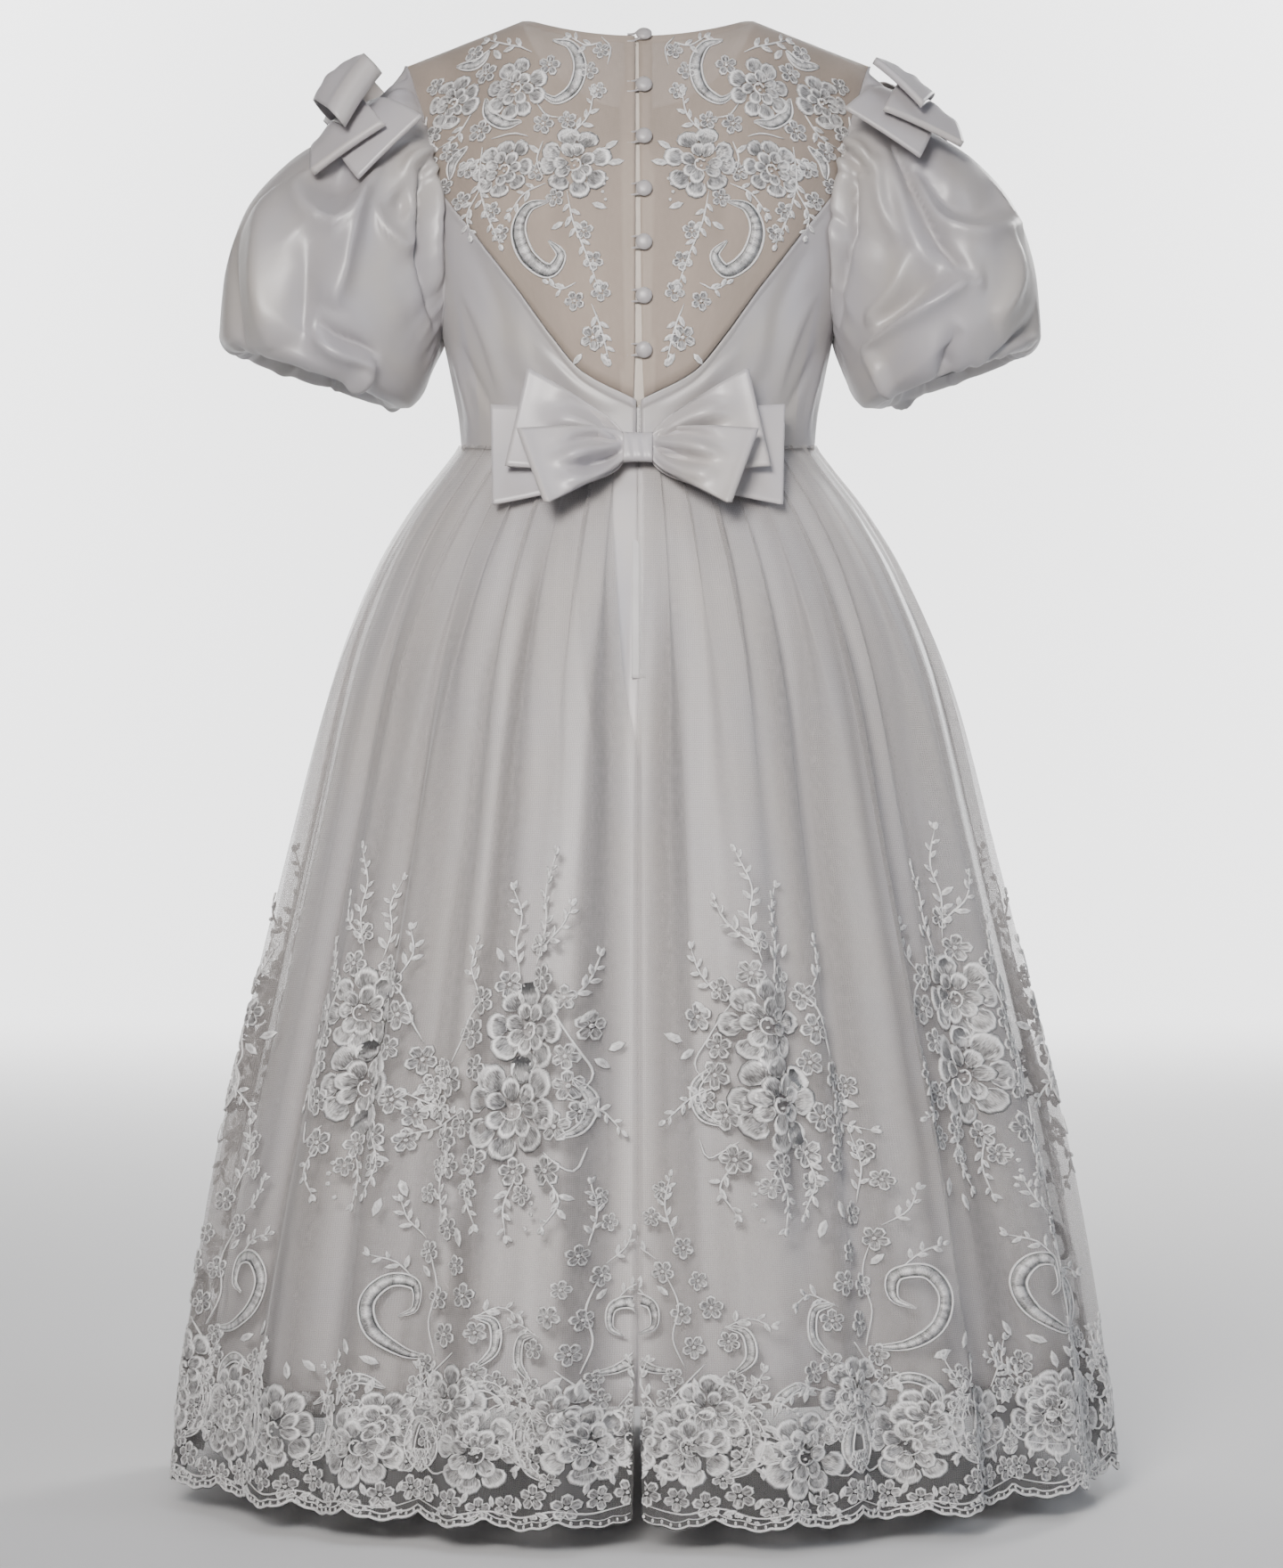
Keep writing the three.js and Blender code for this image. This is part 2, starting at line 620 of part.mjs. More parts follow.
for (const { name, side, reach } of sleeveSides) {
  const loop = armholeLoop(side);
  const rows = sleeveRows.map((ring) => loop.map((start) => {
    const angle = armholeAngle(start);
    if (ring === 0) {
      const outward = new THREE.Vector3(side, 0, armholeStandOff.lift * Math.cos(angle)).normalize();
      return start.clone().addScaledVector(outward, armholeStandOff.out);
    }
    return sleevePoint(ring, angle, side, reach);
  }));
  addPiece(`sleeve_${name}`, wall(rows, satinWall, true), 'satin');

  // The band round the arm, just inside the turned-under edge of the puff
  const bandClear = (satinWall + sleeveBand.wall) / 2 + sleeveBand.gap;
  const edge = rows.at(-1);
  const middle = edge.reduce((sum, point) => sum.add(point), new THREE.Vector3());
  middle.divideScalar(edge.length);
  const armAxis = new THREE.Vector3(side * sleeveBand.lean, 0, -1).normalize();
  const bandLoop = edge.map((point) => {
    const inward = middle.clone().sub(point).normalize();
    return point.clone().addScaledVector(inward, bandClear);
  });
  const band = [sleeveBand.below, sleeveBand.below - 1].map((along) => bandLoop.map(
    (point) => point.clone().addScaledVector(armAxis, along * sleeveBand.height),
  ));
  addPiece(`sleeve_band_${name}`, wall(band, sleeveBand.wall, true), 'satin');
}

// ---- Bows ----

// One flattened loop of satin in the bow's own frame: X along it, Z up it, -Y towards the eye
function bowLoop(layer, { bendShare, openShare }) {
  const { halfLength, endWidth, rise, slant, bend, open, stack } = layer;
  const flatHalf = knot.halfLength;
  const straight = halfLength - bowPly.foldRadius;
  const stations = [flatHalf, ...bowPly.stations.map((share) => share * straight), straight];
  const along = [...stations.map((x) => -x).reverse(), ...stations];
  const spreadAt = (x) => clamp((Math.abs(x) - flatHalf) / (straight - flatHalf), 0, 1);
  const gapAt = (spread) => {
    const puff = THREE.MathUtils.smoothstep(spread, 0, 0.6) - THREE.MathUtils.smoothstep(spread, 0.55, 1);
    const base = lerp(bowPly.pinchGap, 2 * bowPly.foldRadius, spread);
    return base + (open * openShare - bowPly.pinchGap) * puff;
  };
  const section = [
    ...along.map((x) => ({ x, ply: -0.5 })),
    { x: halfLength, ply: 0 },
    ...[...along].reverse().map((x) => ({ x, ply: 0.5 })),
    { x: -halfLength, ply: 0 },
  ];
  return [-1, 0, 1].map((up) => section.map(({ x, ply }) => {
    const spread = spreadAt(x);
    const width = lerp(bowPly.pinchWidth, endWidth, spread ** 0.9);
    const z = rise * spread + (up * width) / 2;
    const slanted = x + Math.sign(x) * slant * up * spread ** 2;
    const y = bend * bendShare * spread ** 1.3 + ply * gapAt(spread) - stack;
    return new THREE.Vector3(slanted, y, z);
  }));
}

function bowKnot() {
  const corners = [
    { y: knot.back + knotCrown.back, z: knot.corner },
    { y: knot.back + knotCrown.back, z: -knot.corner },
    { y: knot.back, z: -1 },
    { y: -knot.front, z: -1 },
    { y: -knot.front - knotCrown.front, z: -knot.corner },
    { y: -knot.front - knotCrown.front, z: knot.corner },
    { y: -knot.front, z: 1 },
    { y: knot.back, z: 1 },
  ];
  return [-1, 0, 1].map((along) => corners.map(({ y, z }) => {
    const waist = 1 - knotCrown.waist * (1 - Math.abs(along));
    return new THREE.Vector3(along * knot.halfLength, y, z * knot.halfHeight * waist);
  }));
}

function addBow(prefix, cloth, place) {
  for (const layer of bowLayers) {
    const points = bowLoop(layer, cloth).map((row) => row.map(place));
    addPiece(`${prefix}_${layer.name}`, wall(points, bowPly.wall * cloth.scale, true), 'satin');
  }
  const points = bowKnot().map((row) => row.map(place));
  addPiece(`${prefix}_knot`, wall(points, knot.wall * cloth.scale, true), 'satin');
}

addBow('waist_bow', waistBowCloth, (point) => {
  const lean = waistBow.leanCurve * point.z ** 2 - waistBow.lean * point.z;
  return new THREE.Vector3(point.x, point.y - waistBow.stand - lean, point.z - waistBow.drop);
});

// On each sleeve head the bow runs front to back and droops round the puff
for (const { name, side, bowSlope, bowAcross, bowOut, bowBend } of sleeveSides) {
  const [across, down] = [Math.cos(radians(bowSlope)), Math.sin(radians(bowSlope))];
  const downSlope = new THREE.Vector3(side * across, 0, -down);
  const outward = new THREE.Vector3(side * down, 0, across);
  const { scale } = sleeveBowCloth;
  addBow(`sleeve_bow_${name}`, sleeveBowCloth, (point) => {
    const bendAngle = (point.x * scale) / bowBend;
    const radius = bowBend - point.y * scale;
    return new THREE.Vector3(0, radius * Math.sin(bendAngle), 0)
      .addScaledVector(downSlope, bowAcross + point.z * scale)
      .addScaledVector(outward, bowOut - bowBend + radius * Math.cos(bendAngle));
  });
}

export default dress;
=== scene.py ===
import math
import random

import bpy
import numpy as np
from mathutils import Matrix, Vector


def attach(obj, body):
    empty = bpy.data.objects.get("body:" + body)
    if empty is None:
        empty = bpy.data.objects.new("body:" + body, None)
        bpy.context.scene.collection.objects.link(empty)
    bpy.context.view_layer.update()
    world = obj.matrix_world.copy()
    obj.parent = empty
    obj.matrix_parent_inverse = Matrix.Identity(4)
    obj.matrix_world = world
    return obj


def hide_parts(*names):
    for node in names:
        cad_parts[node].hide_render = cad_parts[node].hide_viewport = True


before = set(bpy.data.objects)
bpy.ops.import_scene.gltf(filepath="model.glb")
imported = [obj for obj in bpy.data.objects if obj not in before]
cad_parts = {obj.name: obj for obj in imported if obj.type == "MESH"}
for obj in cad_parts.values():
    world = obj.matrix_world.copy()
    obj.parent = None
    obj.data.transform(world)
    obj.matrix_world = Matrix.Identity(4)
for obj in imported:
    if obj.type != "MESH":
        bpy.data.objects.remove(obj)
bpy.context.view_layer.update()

mm = 0.001  # tables and surfaces are in millimetres, meshes in metres


def radians(degrees):
    return np.asarray(degrees, float) * math.pi / 180


def blend(low, high, share):
    return low + (high - low) * share


def smoothStep(low, high, value):
    share = np.clip((np.asarray(value, float) - low) / (high - low), 0, 1)
    return share * share * (3 - 2 * share)


def unitVectors(vectors):
    return vectors / np.linalg.norm(vectors, axis=-1, keepdims=True)


# A short table: its columns' names, then its rows. A row may leave out its last columns
def rowsOf(names, *rows):
    return [dict(zip(names.split(), row)) for row in rows]


# Smooth curves through the rows of a table: the first column goes in, the others come out
def tableReader(names, *rows):
    names = names.split()[1:]
    at, values = np.array(rows, float)[:, 0], np.array(rows, float)[:, 1:]
    steps = np.diff(values, axis=0) / np.diff(at)[:, None]
    slopes = np.zeros_like(values)
    slopes[0], slopes[-1] = steps[0], steps[-1]
    product = steps[:-1] * steps[1:]
    total = steps[:-1] + steps[1:]
    slopes[1:-1] = np.where(product > 0, 2 * product / np.where(total == 0, 1, total), 0)

    def read(where):
        where = np.clip(np.asarray(where, float), at[0], at[-1])
        low = np.clip(np.searchsorted(at, where, side="right") - 1, 0, len(at) - 2)
        span = (at[low + 1] - at[low])[..., None]
        share = (where - at[low])[..., None] / span
        square, cube = share ** 2, share ** 3
        result = ((2 * cube - 3 * square + 1) * values[low]
                  + (3 * square - 2 * cube) * values[low + 1]
                  + (cube - 2 * square + share) * span * slopes[low]
                  + (cube - square) * span * slopes[low + 1])
        return {name: result[..., i] for i, name in enumerate(names)}

    return read


def smoothPath(points, step):
    points = np.array([complex(*point) for point in points])
    ends = np.concatenate([[2 * points[0] - points[1]], points, [2 * points[-1] - points[-2]]])
    result = []
    for i in range(1, len(ends) - 2):
        before, start, end, after = ends[i - 1:i + 3]
        count = max(int(abs(end - start) / step + 0.5), 2)
        t = np.arange(count) / count
        bend = (2 * before - 5 * start + 4 * end - after) * t ** 2
        result.append(0.5 * (2 * start + (end - before) * t + bend
                             + (3 * start - before - 3 * end + after) * t ** 3))
    return np.concatenate(result + [points[-1:]])


def lengthsAlong(path):
    return np.concatenate([[0], np.cumsum(np.abs(np.diff(path)))])


# Folds that follow a curved path over the cloth. Crisp near 1 gives a sharp line and 2 a soft
# one, lean makes one flank wider than the other, and a sewn fold is deepest at its start
def foldHeight(folds, across, down, unit):
    height = np.zeros(np.broadcast(across, down).shape)
    spot = across * unit[0] + 1j * down * unit[1]
    for fold in folds:
        path = smoothPath([(x * unit[0], y * unit[1]) for x, y in fold["path"]], 9)
        passed, runs = lengthsAlong(path), np.diff(path)
        nearest = np.full(height.shape, 1e9)
        share, flank = np.zeros(height.shape), np.zeros(height.shape)
        for start, run, before, length in zip(path, runs, passed, np.abs(runs)):
            along = np.clip(((spot - start) * run.conjugate()).real / length ** 2, 0, 1)
            away = spot - start - along * run
            closer = np.abs(away) < nearest
            nearest = np.where(closer, np.abs(away), nearest)
            share = np.where(closer, (before + along * length) / passed[-1], share)
            flank = np.where(closer, np.sign((away * run.conjugate()).imag), flank)
        width = fold["width"] * (1 + fold.get("lean", 0) * flank) * (1 + fold.get("widen", 0) * share)
        fade = 1 - share ** 2 if fold.get("sewn") else np.sin(math.pi * share) ** 0.6
        height += fold["depth"] * fade * np.exp(-(nearest / width) ** fold.get("crisp", 1.6))
    return height


# Soft troughs and ridges, each running between two places of the cloth in millimetres.
# Lean makes one flank steeper, and bow curves the line
def creaseHeight(creases, across, down):
    height = np.zeros(np.broadcast(across, down).shape)
    for crease in creases:
        startX, startY = crease["from"]
        runX, runY = crease["to"][0] - startX, crease["to"][1] - startY
        length = math.hypot(runX, runY)
        alongX, alongY = runX / length, runY / length
        share = ((across - startX) * alongX + (down - startY) * alongY) / length
        inside = np.clip(share, 0, 1)
        side = (down - startY) * alongX - (across - startX) * alongY
        side = side - crease["bow"] * 4 * inside * (1 - inside)
        width = crease["width"] * (1 + crease.get("lean", 0) * np.tanh(3 * side / crease["width"]))
        height += crease["depth"] * np.sin(math.pi * inside) ** 0.8 * np.exp(-(side / width) ** 2)
    return height


def startMaterial(name, roughness, specular=0.5, sheen=0.0, sheenRoughness=0.5):
    material = bpy.data.materials.new(name)
    material.use_nodes = True
    tree = material.node_tree
    shader = tree.nodes["Principled BSDF"]
    setSockets(tree, shader, {"Roughness": roughness, "Specular IOR Level": specular,
                              "Sheen Weight": sheen, "Sheen Roughness": sheenRoughness})
    return material, tree, shader


# A socket takes either a constant or another node's output
def setSockets(tree, node, values):
    for socket, value in values.items():
        if isinstance(value, bpy.types.NodeSocket):
            tree.links.new(value, node.inputs[socket])
        else:
            node.inputs[socket].default_value = value


def addNode(tree, kind, values=None, **settings):
    node = tree.nodes.new("ShaderNode" + kind)
    for name, value in settings.items():
        setattr(node, name, value)
    setSockets(tree, node, values or {})
    return node


def clothPlace(tree, stretch=(1, 1, 1)):
    uv = addNode(tree, "UVMap", uv_map="cloth").outputs["UV"]
    return addNode(tree, "Mapping", {"Vector": uv, "Scale": stretch}).outputs["Vector"]


def addNoise(tree, scale=1, detail=2, stretch=(1, 1, 1)):
    values = {"Vector": clothPlace(tree, stretch), "Scale": scale, "Detail": detail}
    return addNode(tree, "TexNoise", values).outputs["Fac"]


def addMark(tree, name):
    return addNode(tree, "Attribute", attribute_name=name).outputs["Fac"]


def addRamp(tree, value, *stops):
    ramp = addNode(tree, "ValToRGB", {"Fac": value})
    for element, (at, colour) in zip(ramp.color_ramp.elements, stops):
        element.position = at
        element.color = (*colour, 1)
    return ramp.outputs["Color"]


def addMaths(tree, operation, first, second):
    return addNode(tree, "Math", {0: first, 1: second}, operation=operation).outputs[0]


def addBump(tree, shader, height, strength, distance):
    bump = addNode(tree, "Bump", {"Height": height, "Strength": strength, "Distance": distance})
    setSockets(tree, shader, {"Normal": bump.outputs["Normal"]})


# Satin on the bodice and sleeves; a lighter copy on the bows, painted lighter for the light they catch; and
# satin under the tulle
satinLooks = rowsOf("name cool warm shine",
                    ("whiteSatin", (0.365, 0.35, 0.37), (0.405, 0.38, 0.36), 0.42),
                    ("bowSatin", (0.44, 0.422, 0.446), (0.48, 0.45, 0.43), 0.42),
                    ("underskirtSatin", (0.55, 0.535, 0.555), (0.58, 0.55, 0.535), 0.45))


def makeSatin(name, cool, warm, shine):
    material, tree, shader = startMaterial(name, shine, specular=1.0, sheen=0.1)
    patches = addNoise(tree, 11, 3)
    sheen = addNode(tree, "MapRange", {"Value": patches, "To Min": shine - 0.04, "To Max": shine + 0.07})
    # satin floats lie along the warp, so the weave shows as short fine dashes
    weave, slub = addNoise(tree, stretch=(2600, 520, 1)), addNoise(tree, stretch=(70, 14, 1))
    # the cool patches are painted reflection: the bluish tint that cool light gives the satin, laid at random
    # among warm ones
    setSockets(tree, shader, {"Base Color": addRamp(tree, patches, (0.38, cool), (0.62, warm)),
                              "Roughness": sheen.outputs["Result"]})
    addBump(tree, shader, addMaths(tree, "ADD", weave, addMaths(tree, "MULTIPLY", slub, 3)), 0.16, 0.0003)
    return material


# A hexagonal net: threads round the cells of a Voronoi pattern, and clear between them
netLooks = {
    "whiteTulle": {"thread": (0.51, 0.48, 0.465), "clear": 0.20, "dense": 0.62, "cell": 800, "line": 0.13,
                   "streaks": (34, 1.6, 1), "uneven": 0.7, "foldShade": 0.34, "grain": 0.6},
    "nudeMesh": {"thread": (0.40, 0.33, 0.275), "clear": 0.80, "dense": 0.97, "cell": 1200, "line": 0.16,
                 "streaks": (9, 5, 1), "uneven": 0.12, "foldShade": 0, "grain": 0.15},
}
# painted shade: the near-black colour given to the net below the satin's hem, for the shaded inside of the
# skirt seen through it
paintedShadeBelowSatin = (0.10, 0.098, 0.098, 1)


def makeNet(name):
    look = netLooks[name]
    material, tree, shader = startMaterial(name, 0.62, specular=0.3, sheen=0.35)
    cellValues = {"Vector": clothPlace(tree), "Scale": look["cell"], "Randomness": 0.35}
    cells = addNode(tree, "TexVoronoi", cellValues, feature="DISTANCE_TO_EDGE")
    patches = addNoise(tree, 1, 3, look["streaks"])
    grain = addNoise(tree, 1, 3, (300, 180, 1))
    folded, bare, doubled = (addMark(tree, mark) for mark in ("folded", "bare", "doubled"))

    def scaled(value, factor):
        return addMaths(tree, "MULTIPLY", value, factor)

    darker = tuple(0.74 * part for part in look["thread"])
    tint = addRamp(tree, patches, (0.38, look["thread"]), (0.62, darker))
    # the net is denser where a fold turns it edge on or lays it double, and its colour is darkened there as
    # painted fold shade
    shade = scaled(addMaths(tree, "SUBTRACT", 1.0, scaled(folded, look["foldShade"])),
                   addMaths(tree, "ADD", scaled(grain, look["grain"]), 1 - look["grain"] / 2))
    toned = addNode(tree, "VectorMath", {0: tint, "Scale": shade}, operation="SCALE")
    # below the satin's hem the net is painted near black and made denser: painted shade for the shaded inside
    # of the skirt seen through it
    shaded = addNode(tree, "Mix", data_type="RGBA")
    setSockets(tree, shaded, {"Factor": bare, 6: toned.outputs["Vector"], "B": paintedShadeBelowSatin})
    net = addNode(tree, "MapRange", {"Value": cells.outputs["Distance"], "From Max": look["line"],
                                     "To Min": look["dense"], "To Max": look["clear"]})
    uneven = scaled(addMaths(tree, "SUBTRACT", patches, 0.45), look["uneven"])
    cover = net.outputs["Result"]
    # where the cloth is turned in double, it is closer to solid
    for more in (scaled(doubled, 0.3), uneven, scaled(bare, 0.25), scaled(folded, 0.3)):
        cover = addMaths(tree, "ADD", cover, more)
    cover = addMaths(tree, "MINIMUM", cover, 1.0)
    setSockets(tree, shader, {"Base Color": shaded.outputs[2], "Alpha": cover})
    return material


def makePlainCloth(name, colour, roughness):
    material, tree, shader = startMaterial(name, roughness, specular=0.35, sheen=0.3)
    darker = tuple(0.88 * part for part in colour)
    tint = addRamp(tree, addNoise(tree, 30, 4), (0.35, darker), (0.65, colour))
    setSockets(tree, shader, {"Base Color": tint})
    addBump(tree, shader, addNoise(tree, 1800, 1), 0.25, 0.0002)
    return material


# Rayon thread: bright on the raised cords; in the open fillings and in the hollows and middles of petals its
# colour runs down to a near-black deep colour, which is painted shade; streaked along the stitches
def makeThread(name, deep, bright):
    material, tree, shader = startMaterial(name, 0.34, specular=1.0, sheen=0.3, sheenRoughness=0.35)
    streaks = addNoise(tree, stretch=(2.1, 0.35, 1))
    tone = addMaths(tree, "SUBTRACT", addMark(tree, "tone"), 0.6)
    mixed = addMaths(tree, "ADD", addMaths(tree, "MULTIPLY", streaks, 1.2), tone)
    setSockets(tree, shader, {"Base Color": addRamp(tree, mixed, (0.12, deep), (0.86, bright))})
    addBump(tree, shader, streaks, 0.8, 0.0004)
    return material


satin, bowSatin, underSatin = (makeSatin(**look) for look in satinLooks)
tulle, nudeMesh = makeNet("whiteTulle"), makeNet("nudeMesh")
creamCloth = makePlainCloth("creamCloth", (0.66, 0.60, 0.53), 0.7)
zipCloth = makePlainCloth("zipTape", (0.62, 0.61, 0.61), 0.6)
# the near-black first colour is painted shade for the thread's hollows and fillings
thread = makeThread("silverThread", (0.10, 0.096, 0.096), (0.78, 0.775, 0.77))
print("materials made")


def makeMesh(name, points, corners, sizes, finish, uv, marks):
    mesh = bpy.data.meshes.new(name)
    mesh.vertices.add(len(points))
    mesh.vertices.foreach_set("co", (points * mm).astype(np.float32).ravel())
    mesh.loops.add(len(corners))
    mesh.loops.foreach_set("vertex_index", corners.astype(np.int32))
    mesh.polygons.add(len(sizes))
    starts = np.concatenate([[0], np.cumsum(sizes)[:-1]])
    mesh.polygons.foreach_set("loop_start", starts.astype(np.int32))
    mesh.polygons.foreach_set("loop_total", sizes.astype(np.int32))
    mesh.polygons.foreach_set("use_smooth", np.ones(len(sizes), bool))
    mesh.update(calc_edges=True)
    mesh.uv_layers.new(name="cloth").data.foreach_set("uv", uv.astype(np.float32).ravel())
    for mark, values in marks.items():
        attribute = mesh.attributes.new(mark, "FLOAT", "POINT")
        attribute.data.foreach_set("value", np.asarray(values, np.float32).ravel())
    mesh.validate()
    mesh.materials.append(finish)
    piece = bpy.data.objects.new(name, mesh)
    bpy.context.scene.collection.objects.link(piece)
    return piece


def objectMode():
    if bpy.context.mode != "OBJECT":
        bpy.ops.object.mode_set(mode="OBJECT")


def selectOnly(*pieces):
    objectMode()
    bpy.ops.object.select_all(action="DESELECT")
    for piece in pieces[::-1]:
        piece.select_set(True)
        bpy.context.view_layer.objects.active = piece


def applyModifier(piece, kind, **settings):
    selectOnly(piece)
    modifier = piece.modifiers.new(kind.lower(), kind)
    for name, value in settings.items():
        setattr(modifier, name, value)
    bpy.ops.object.modifier_apply(modifier=modifier.name)


# Every piece is in the one body; those that take the place of a solid say which
def declare(piece, slot, *nodes):
    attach(piece, "root")
    if nodes:
        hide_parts(*nodes)


# bodiceBackLeft is the piece that replaces the node bodice_back_left
def nodeOf(name):
    return "".join("_" + letter.lower() if letter.isupper() else letter for letter in name)


def cutSize(ring):
    rows, columns = (np.linalg.norm(np.diff(ring, axis=i), axis=-1).sum(axis=i) for i in (1, 0))
    halves = np.cross(ring[1:, 1:] - ring[:-1, :-1], ring[1:, :-1] - ring[:-1, 1:])
    area = np.linalg.norm(halves, axis=-1).sum() / 2
    return rows.max() * mm, columns.max() * mm, area * mm * mm


degreeAround = 2.15  # how far a degree reaches round the bodice


# A panel of the bodice or yoke laid flat: how far it reaches round the body and down it
def panelSize(points):
    turn = np.degrees(np.arctan2(points[..., 0], -points[..., 1] * 1.5))
    if points[..., 1].mean() > 0:
        turn = turn % 360
    return (turn.max() - turn.min()) * degreeAround * mm, np.ptp(points[..., 2]) * mm


# A piece of cloth through rows of points, with its pattern laid out flat in metres.
# Wall 0 leaves a single sheet, for nets that light goes through
def makeCloth(name, points, wall, finish, slot, node=None, closed=False, panel=False,
              marks=None):
    rows, columns = points.shape[:2]
    index = np.arange(rows * columns).reshape(rows, columns)
    ring = points
    if closed:
        index = np.concatenate([index, index[:, :1]], axis=1)
        ring = np.concatenate([points, points[:, :1]], axis=1)
    across, down = (np.concatenate([[0], np.cumsum(
        np.linalg.norm(np.diff(ring, axis=i), axis=-1).mean(axis=1 - i))]) * mm for i in (1, 0))
    flat = np.stack(np.broadcast_arrays(across[None, :], down[:, None]), axis=-1)
    first, second = slice(0, -1), slice(1, None)
    corner = [(first, first), (second, first), (second, second), (first, second)]
    faces = np.stack([index[at] for at in corner], axis=-1).reshape(-1, 4)
    uv = np.stack([flat[at] for at in corner], axis=2).reshape(-1, 4, 2)
    flatPoints = points.reshape(-1, 3)
    triangle = flatPoints[faces[:, :3]]
    normals = np.cross(triangle[:, 1] - triangle[:, 0], triangle[:, 2] - triangle[:, 0])
    middle = points.mean(axis=1, keepdims=True) if closed else points.mean(axis=(0, 1)) * (0, 0, 1)
    inward = np.broadcast_to(middle, points.shape).reshape(-1, 3)[faces[:, 0]] - triangle[:, 0]
    if (normals * inward).sum() > 0:
        faces, uv = faces[:, ::-1], uv[:, ::-1]
    sizes = np.full(len(faces), 4)
    piece = makeMesh(name, flatPoints, faces.ravel(), sizes, finish, uv.reshape(-1, 2), marks or {})
    if wall:
        applyModifier(piece, "SOLIDIFY", thickness=wall * mm, offset=0)
        piece.data.polygons.foreach_set("use_smooth", np.ones(len(piece.data.polygons), bool))
    declare(piece, slot, node or nodeOf(name))
    width, length, area = cutSize(ring)
    if panel:
        width, length = panelSize(points)
    min(area, width * length)
    print(f"{name}: cut {width:.3f} by {length:.3f} m, {area:.4f} square metres")
    return piece


# The form of the dress, from the same tables as the solids
neck = {"half": 78, "tip": 155, "fall": 30, "back": 19, "front": 48}
waist = {"side": 287, "backDip": 11, "frontDip": 4}
hemDrop, underarmDrop = 968, 213
vee = {"point": 262, "turn": 60, "drop": 112}

torsoAt = tableReader(
    "drop halfWidth halfDepth",
    (0, 155, 0.3), (6, 154, 36), (19, 154, 56), (40, 153, 69), (70, 152, 80), (105, 150, 89),
    (150, 146, 96), (213, 131, 98), (242, 125, 96), (270, 120, 93), (300, 117.5, 92))
veeAt = tableReader("turn drop", (0, vee["point"]), (16.7, 243), (25.8, 219), (36.9, 181), (49, 141),
                    (vee["turn"], vee["drop"]))
frontEdgeAt = tableReader("turn drop", (0, 124), (40, 120), (vee["turn"], vee["drop"]))
lowerArmholeAt = tableReader("along turn drop", (0, vee["turn"], vee["drop"]), (0.3, 60.7, 145),
                             (0.6, 66, 180), (0.85, 77, 204), (1, 90, underarmDrop))
upperArmholeAt = tableReader("along turn drop", (0, vee["turn"], vee["drop"]), (0.35, 64.5, 72),
                             (0.65, 71.4, 40), (0.88, 79.5, 14), (1, 90, 0))
skirtAt = tableReader(
    "fall halfWidth halfDepth inset",
    (0, 117.5, 92, 2), (14, 128, 101, 2.6), (42, 149, 122, 4), (84, 173, 146, 6), (150, 198, 171, 8),
    (255, 223, 200, 10), (385, 253, 230, 11), (505, 280, 256, 12), (608, 298, 276, 12), (690, 308, 287, 12))
skirtFall = hemDrop - waist["side"]
underskirtFall = 608


def shoulderSlope(x, drop):
    out = np.clip((np.abs(x) - neck["half"]) / (neck["tip"] - neck["half"]), 0, 1)
    return neck["fall"] * out * np.clip(1 - drop / underarmDrop, 0, 1)


# A ring's point at this turn from the centre back, moved out; y is the depth of the body
def ringPoint(ring, turn, out):
    return ((ring["halfWidth"] + out) * np.sin(radians(turn)),
            -(ring["halfDepth"] + out) * np.cos(radians(turn)))


def torsoPoint(turn, drop, out=0.0):
    turn, drop, out = np.broadcast_arrays(turn, drop, out)
    x, y = ringPoint(torsoAt(drop), turn, out)
    return np.stack([x, y, -drop - shoulderSlope(x, drop)], axis=-1)


# The same where the turn is counted from the centre back or front, towards one side
def onForm(turn, drop, side, front):
    return torsoPoint(side * (180 - turn if front else turn), drop)


def waistDrop(turn):
    towardsBack = np.cos(radians(turn))
    dip = np.where(towardsBack > 0, waist["backDip"], waist["frontDip"])
    return waist["side"] + dip * towardsBack ** 2


def edgeTurn(offset, halfWidth):
    return np.degrees(np.arcsin(offset / halfWidth))


def surfaceNormals(points, closed=False):
    if closed:
        across = np.roll(points, -1, axis=1) - np.roll(points, 1, axis=1)
    else:
        across = np.gradient(points, axis=1)
    normals = np.cross(across, np.gradient(points, axis=0))
    return normals / (np.linalg.norm(normals, axis=-1, keepdims=True) + 1e-9)


# Moves a panel's points out of its surface; the body's axis is at x = y = 0
def pushOut(points, height):
    normals = surfaceNormals(points)
    inward = (normals * points * (1, 1, 0)).sum() < 0
    return points + normals * height[..., None] * (-1 if inward else 1)


def mirrorJoin(left, right):
    return np.concatenate([left[:, :0:-1], right], axis=1)


print("form read")

bodice = {
    "wall": 0.9, "rows": 48, "veeColumns": 44, "armholeColumns": 20, "seamGap": 0.36, "waistLap": 0.8,
    "zipLeft": -1.1, "zipRight": 1.9, "pressWidth": 7, "pressDepth": 0.55, "frontPull": 1.3, "backPull": 1.9,
    "leftStretch": 1.03,
    # soft pulls in the satin: across is along the waist from the centre back, down is the drop
    "creases": rowsOf(
        "from to width depth bow lean",
        ((14, 268), (70, 226), 5, 1.0, 3, 0.3), ((30, 280), (96, 246), 6, -0.9, -3),
        ((60, 292), (104, 262), 5, 0.9, 2), ((112, 150), (92, 226), 8, -1.3, 3),
        ((126, 186), (104, 262), 6, 1.3, 4, 0.3), ((146, 220), (112, 272), 5, -1.1, -2),
        ((165, 216), (150, 280), 6, 1.2, 3), ((84, 200), (72, 262), 9, 1.0, -3),
        ((180, 228), (172, 290), 6, -1.2, 0)),
}


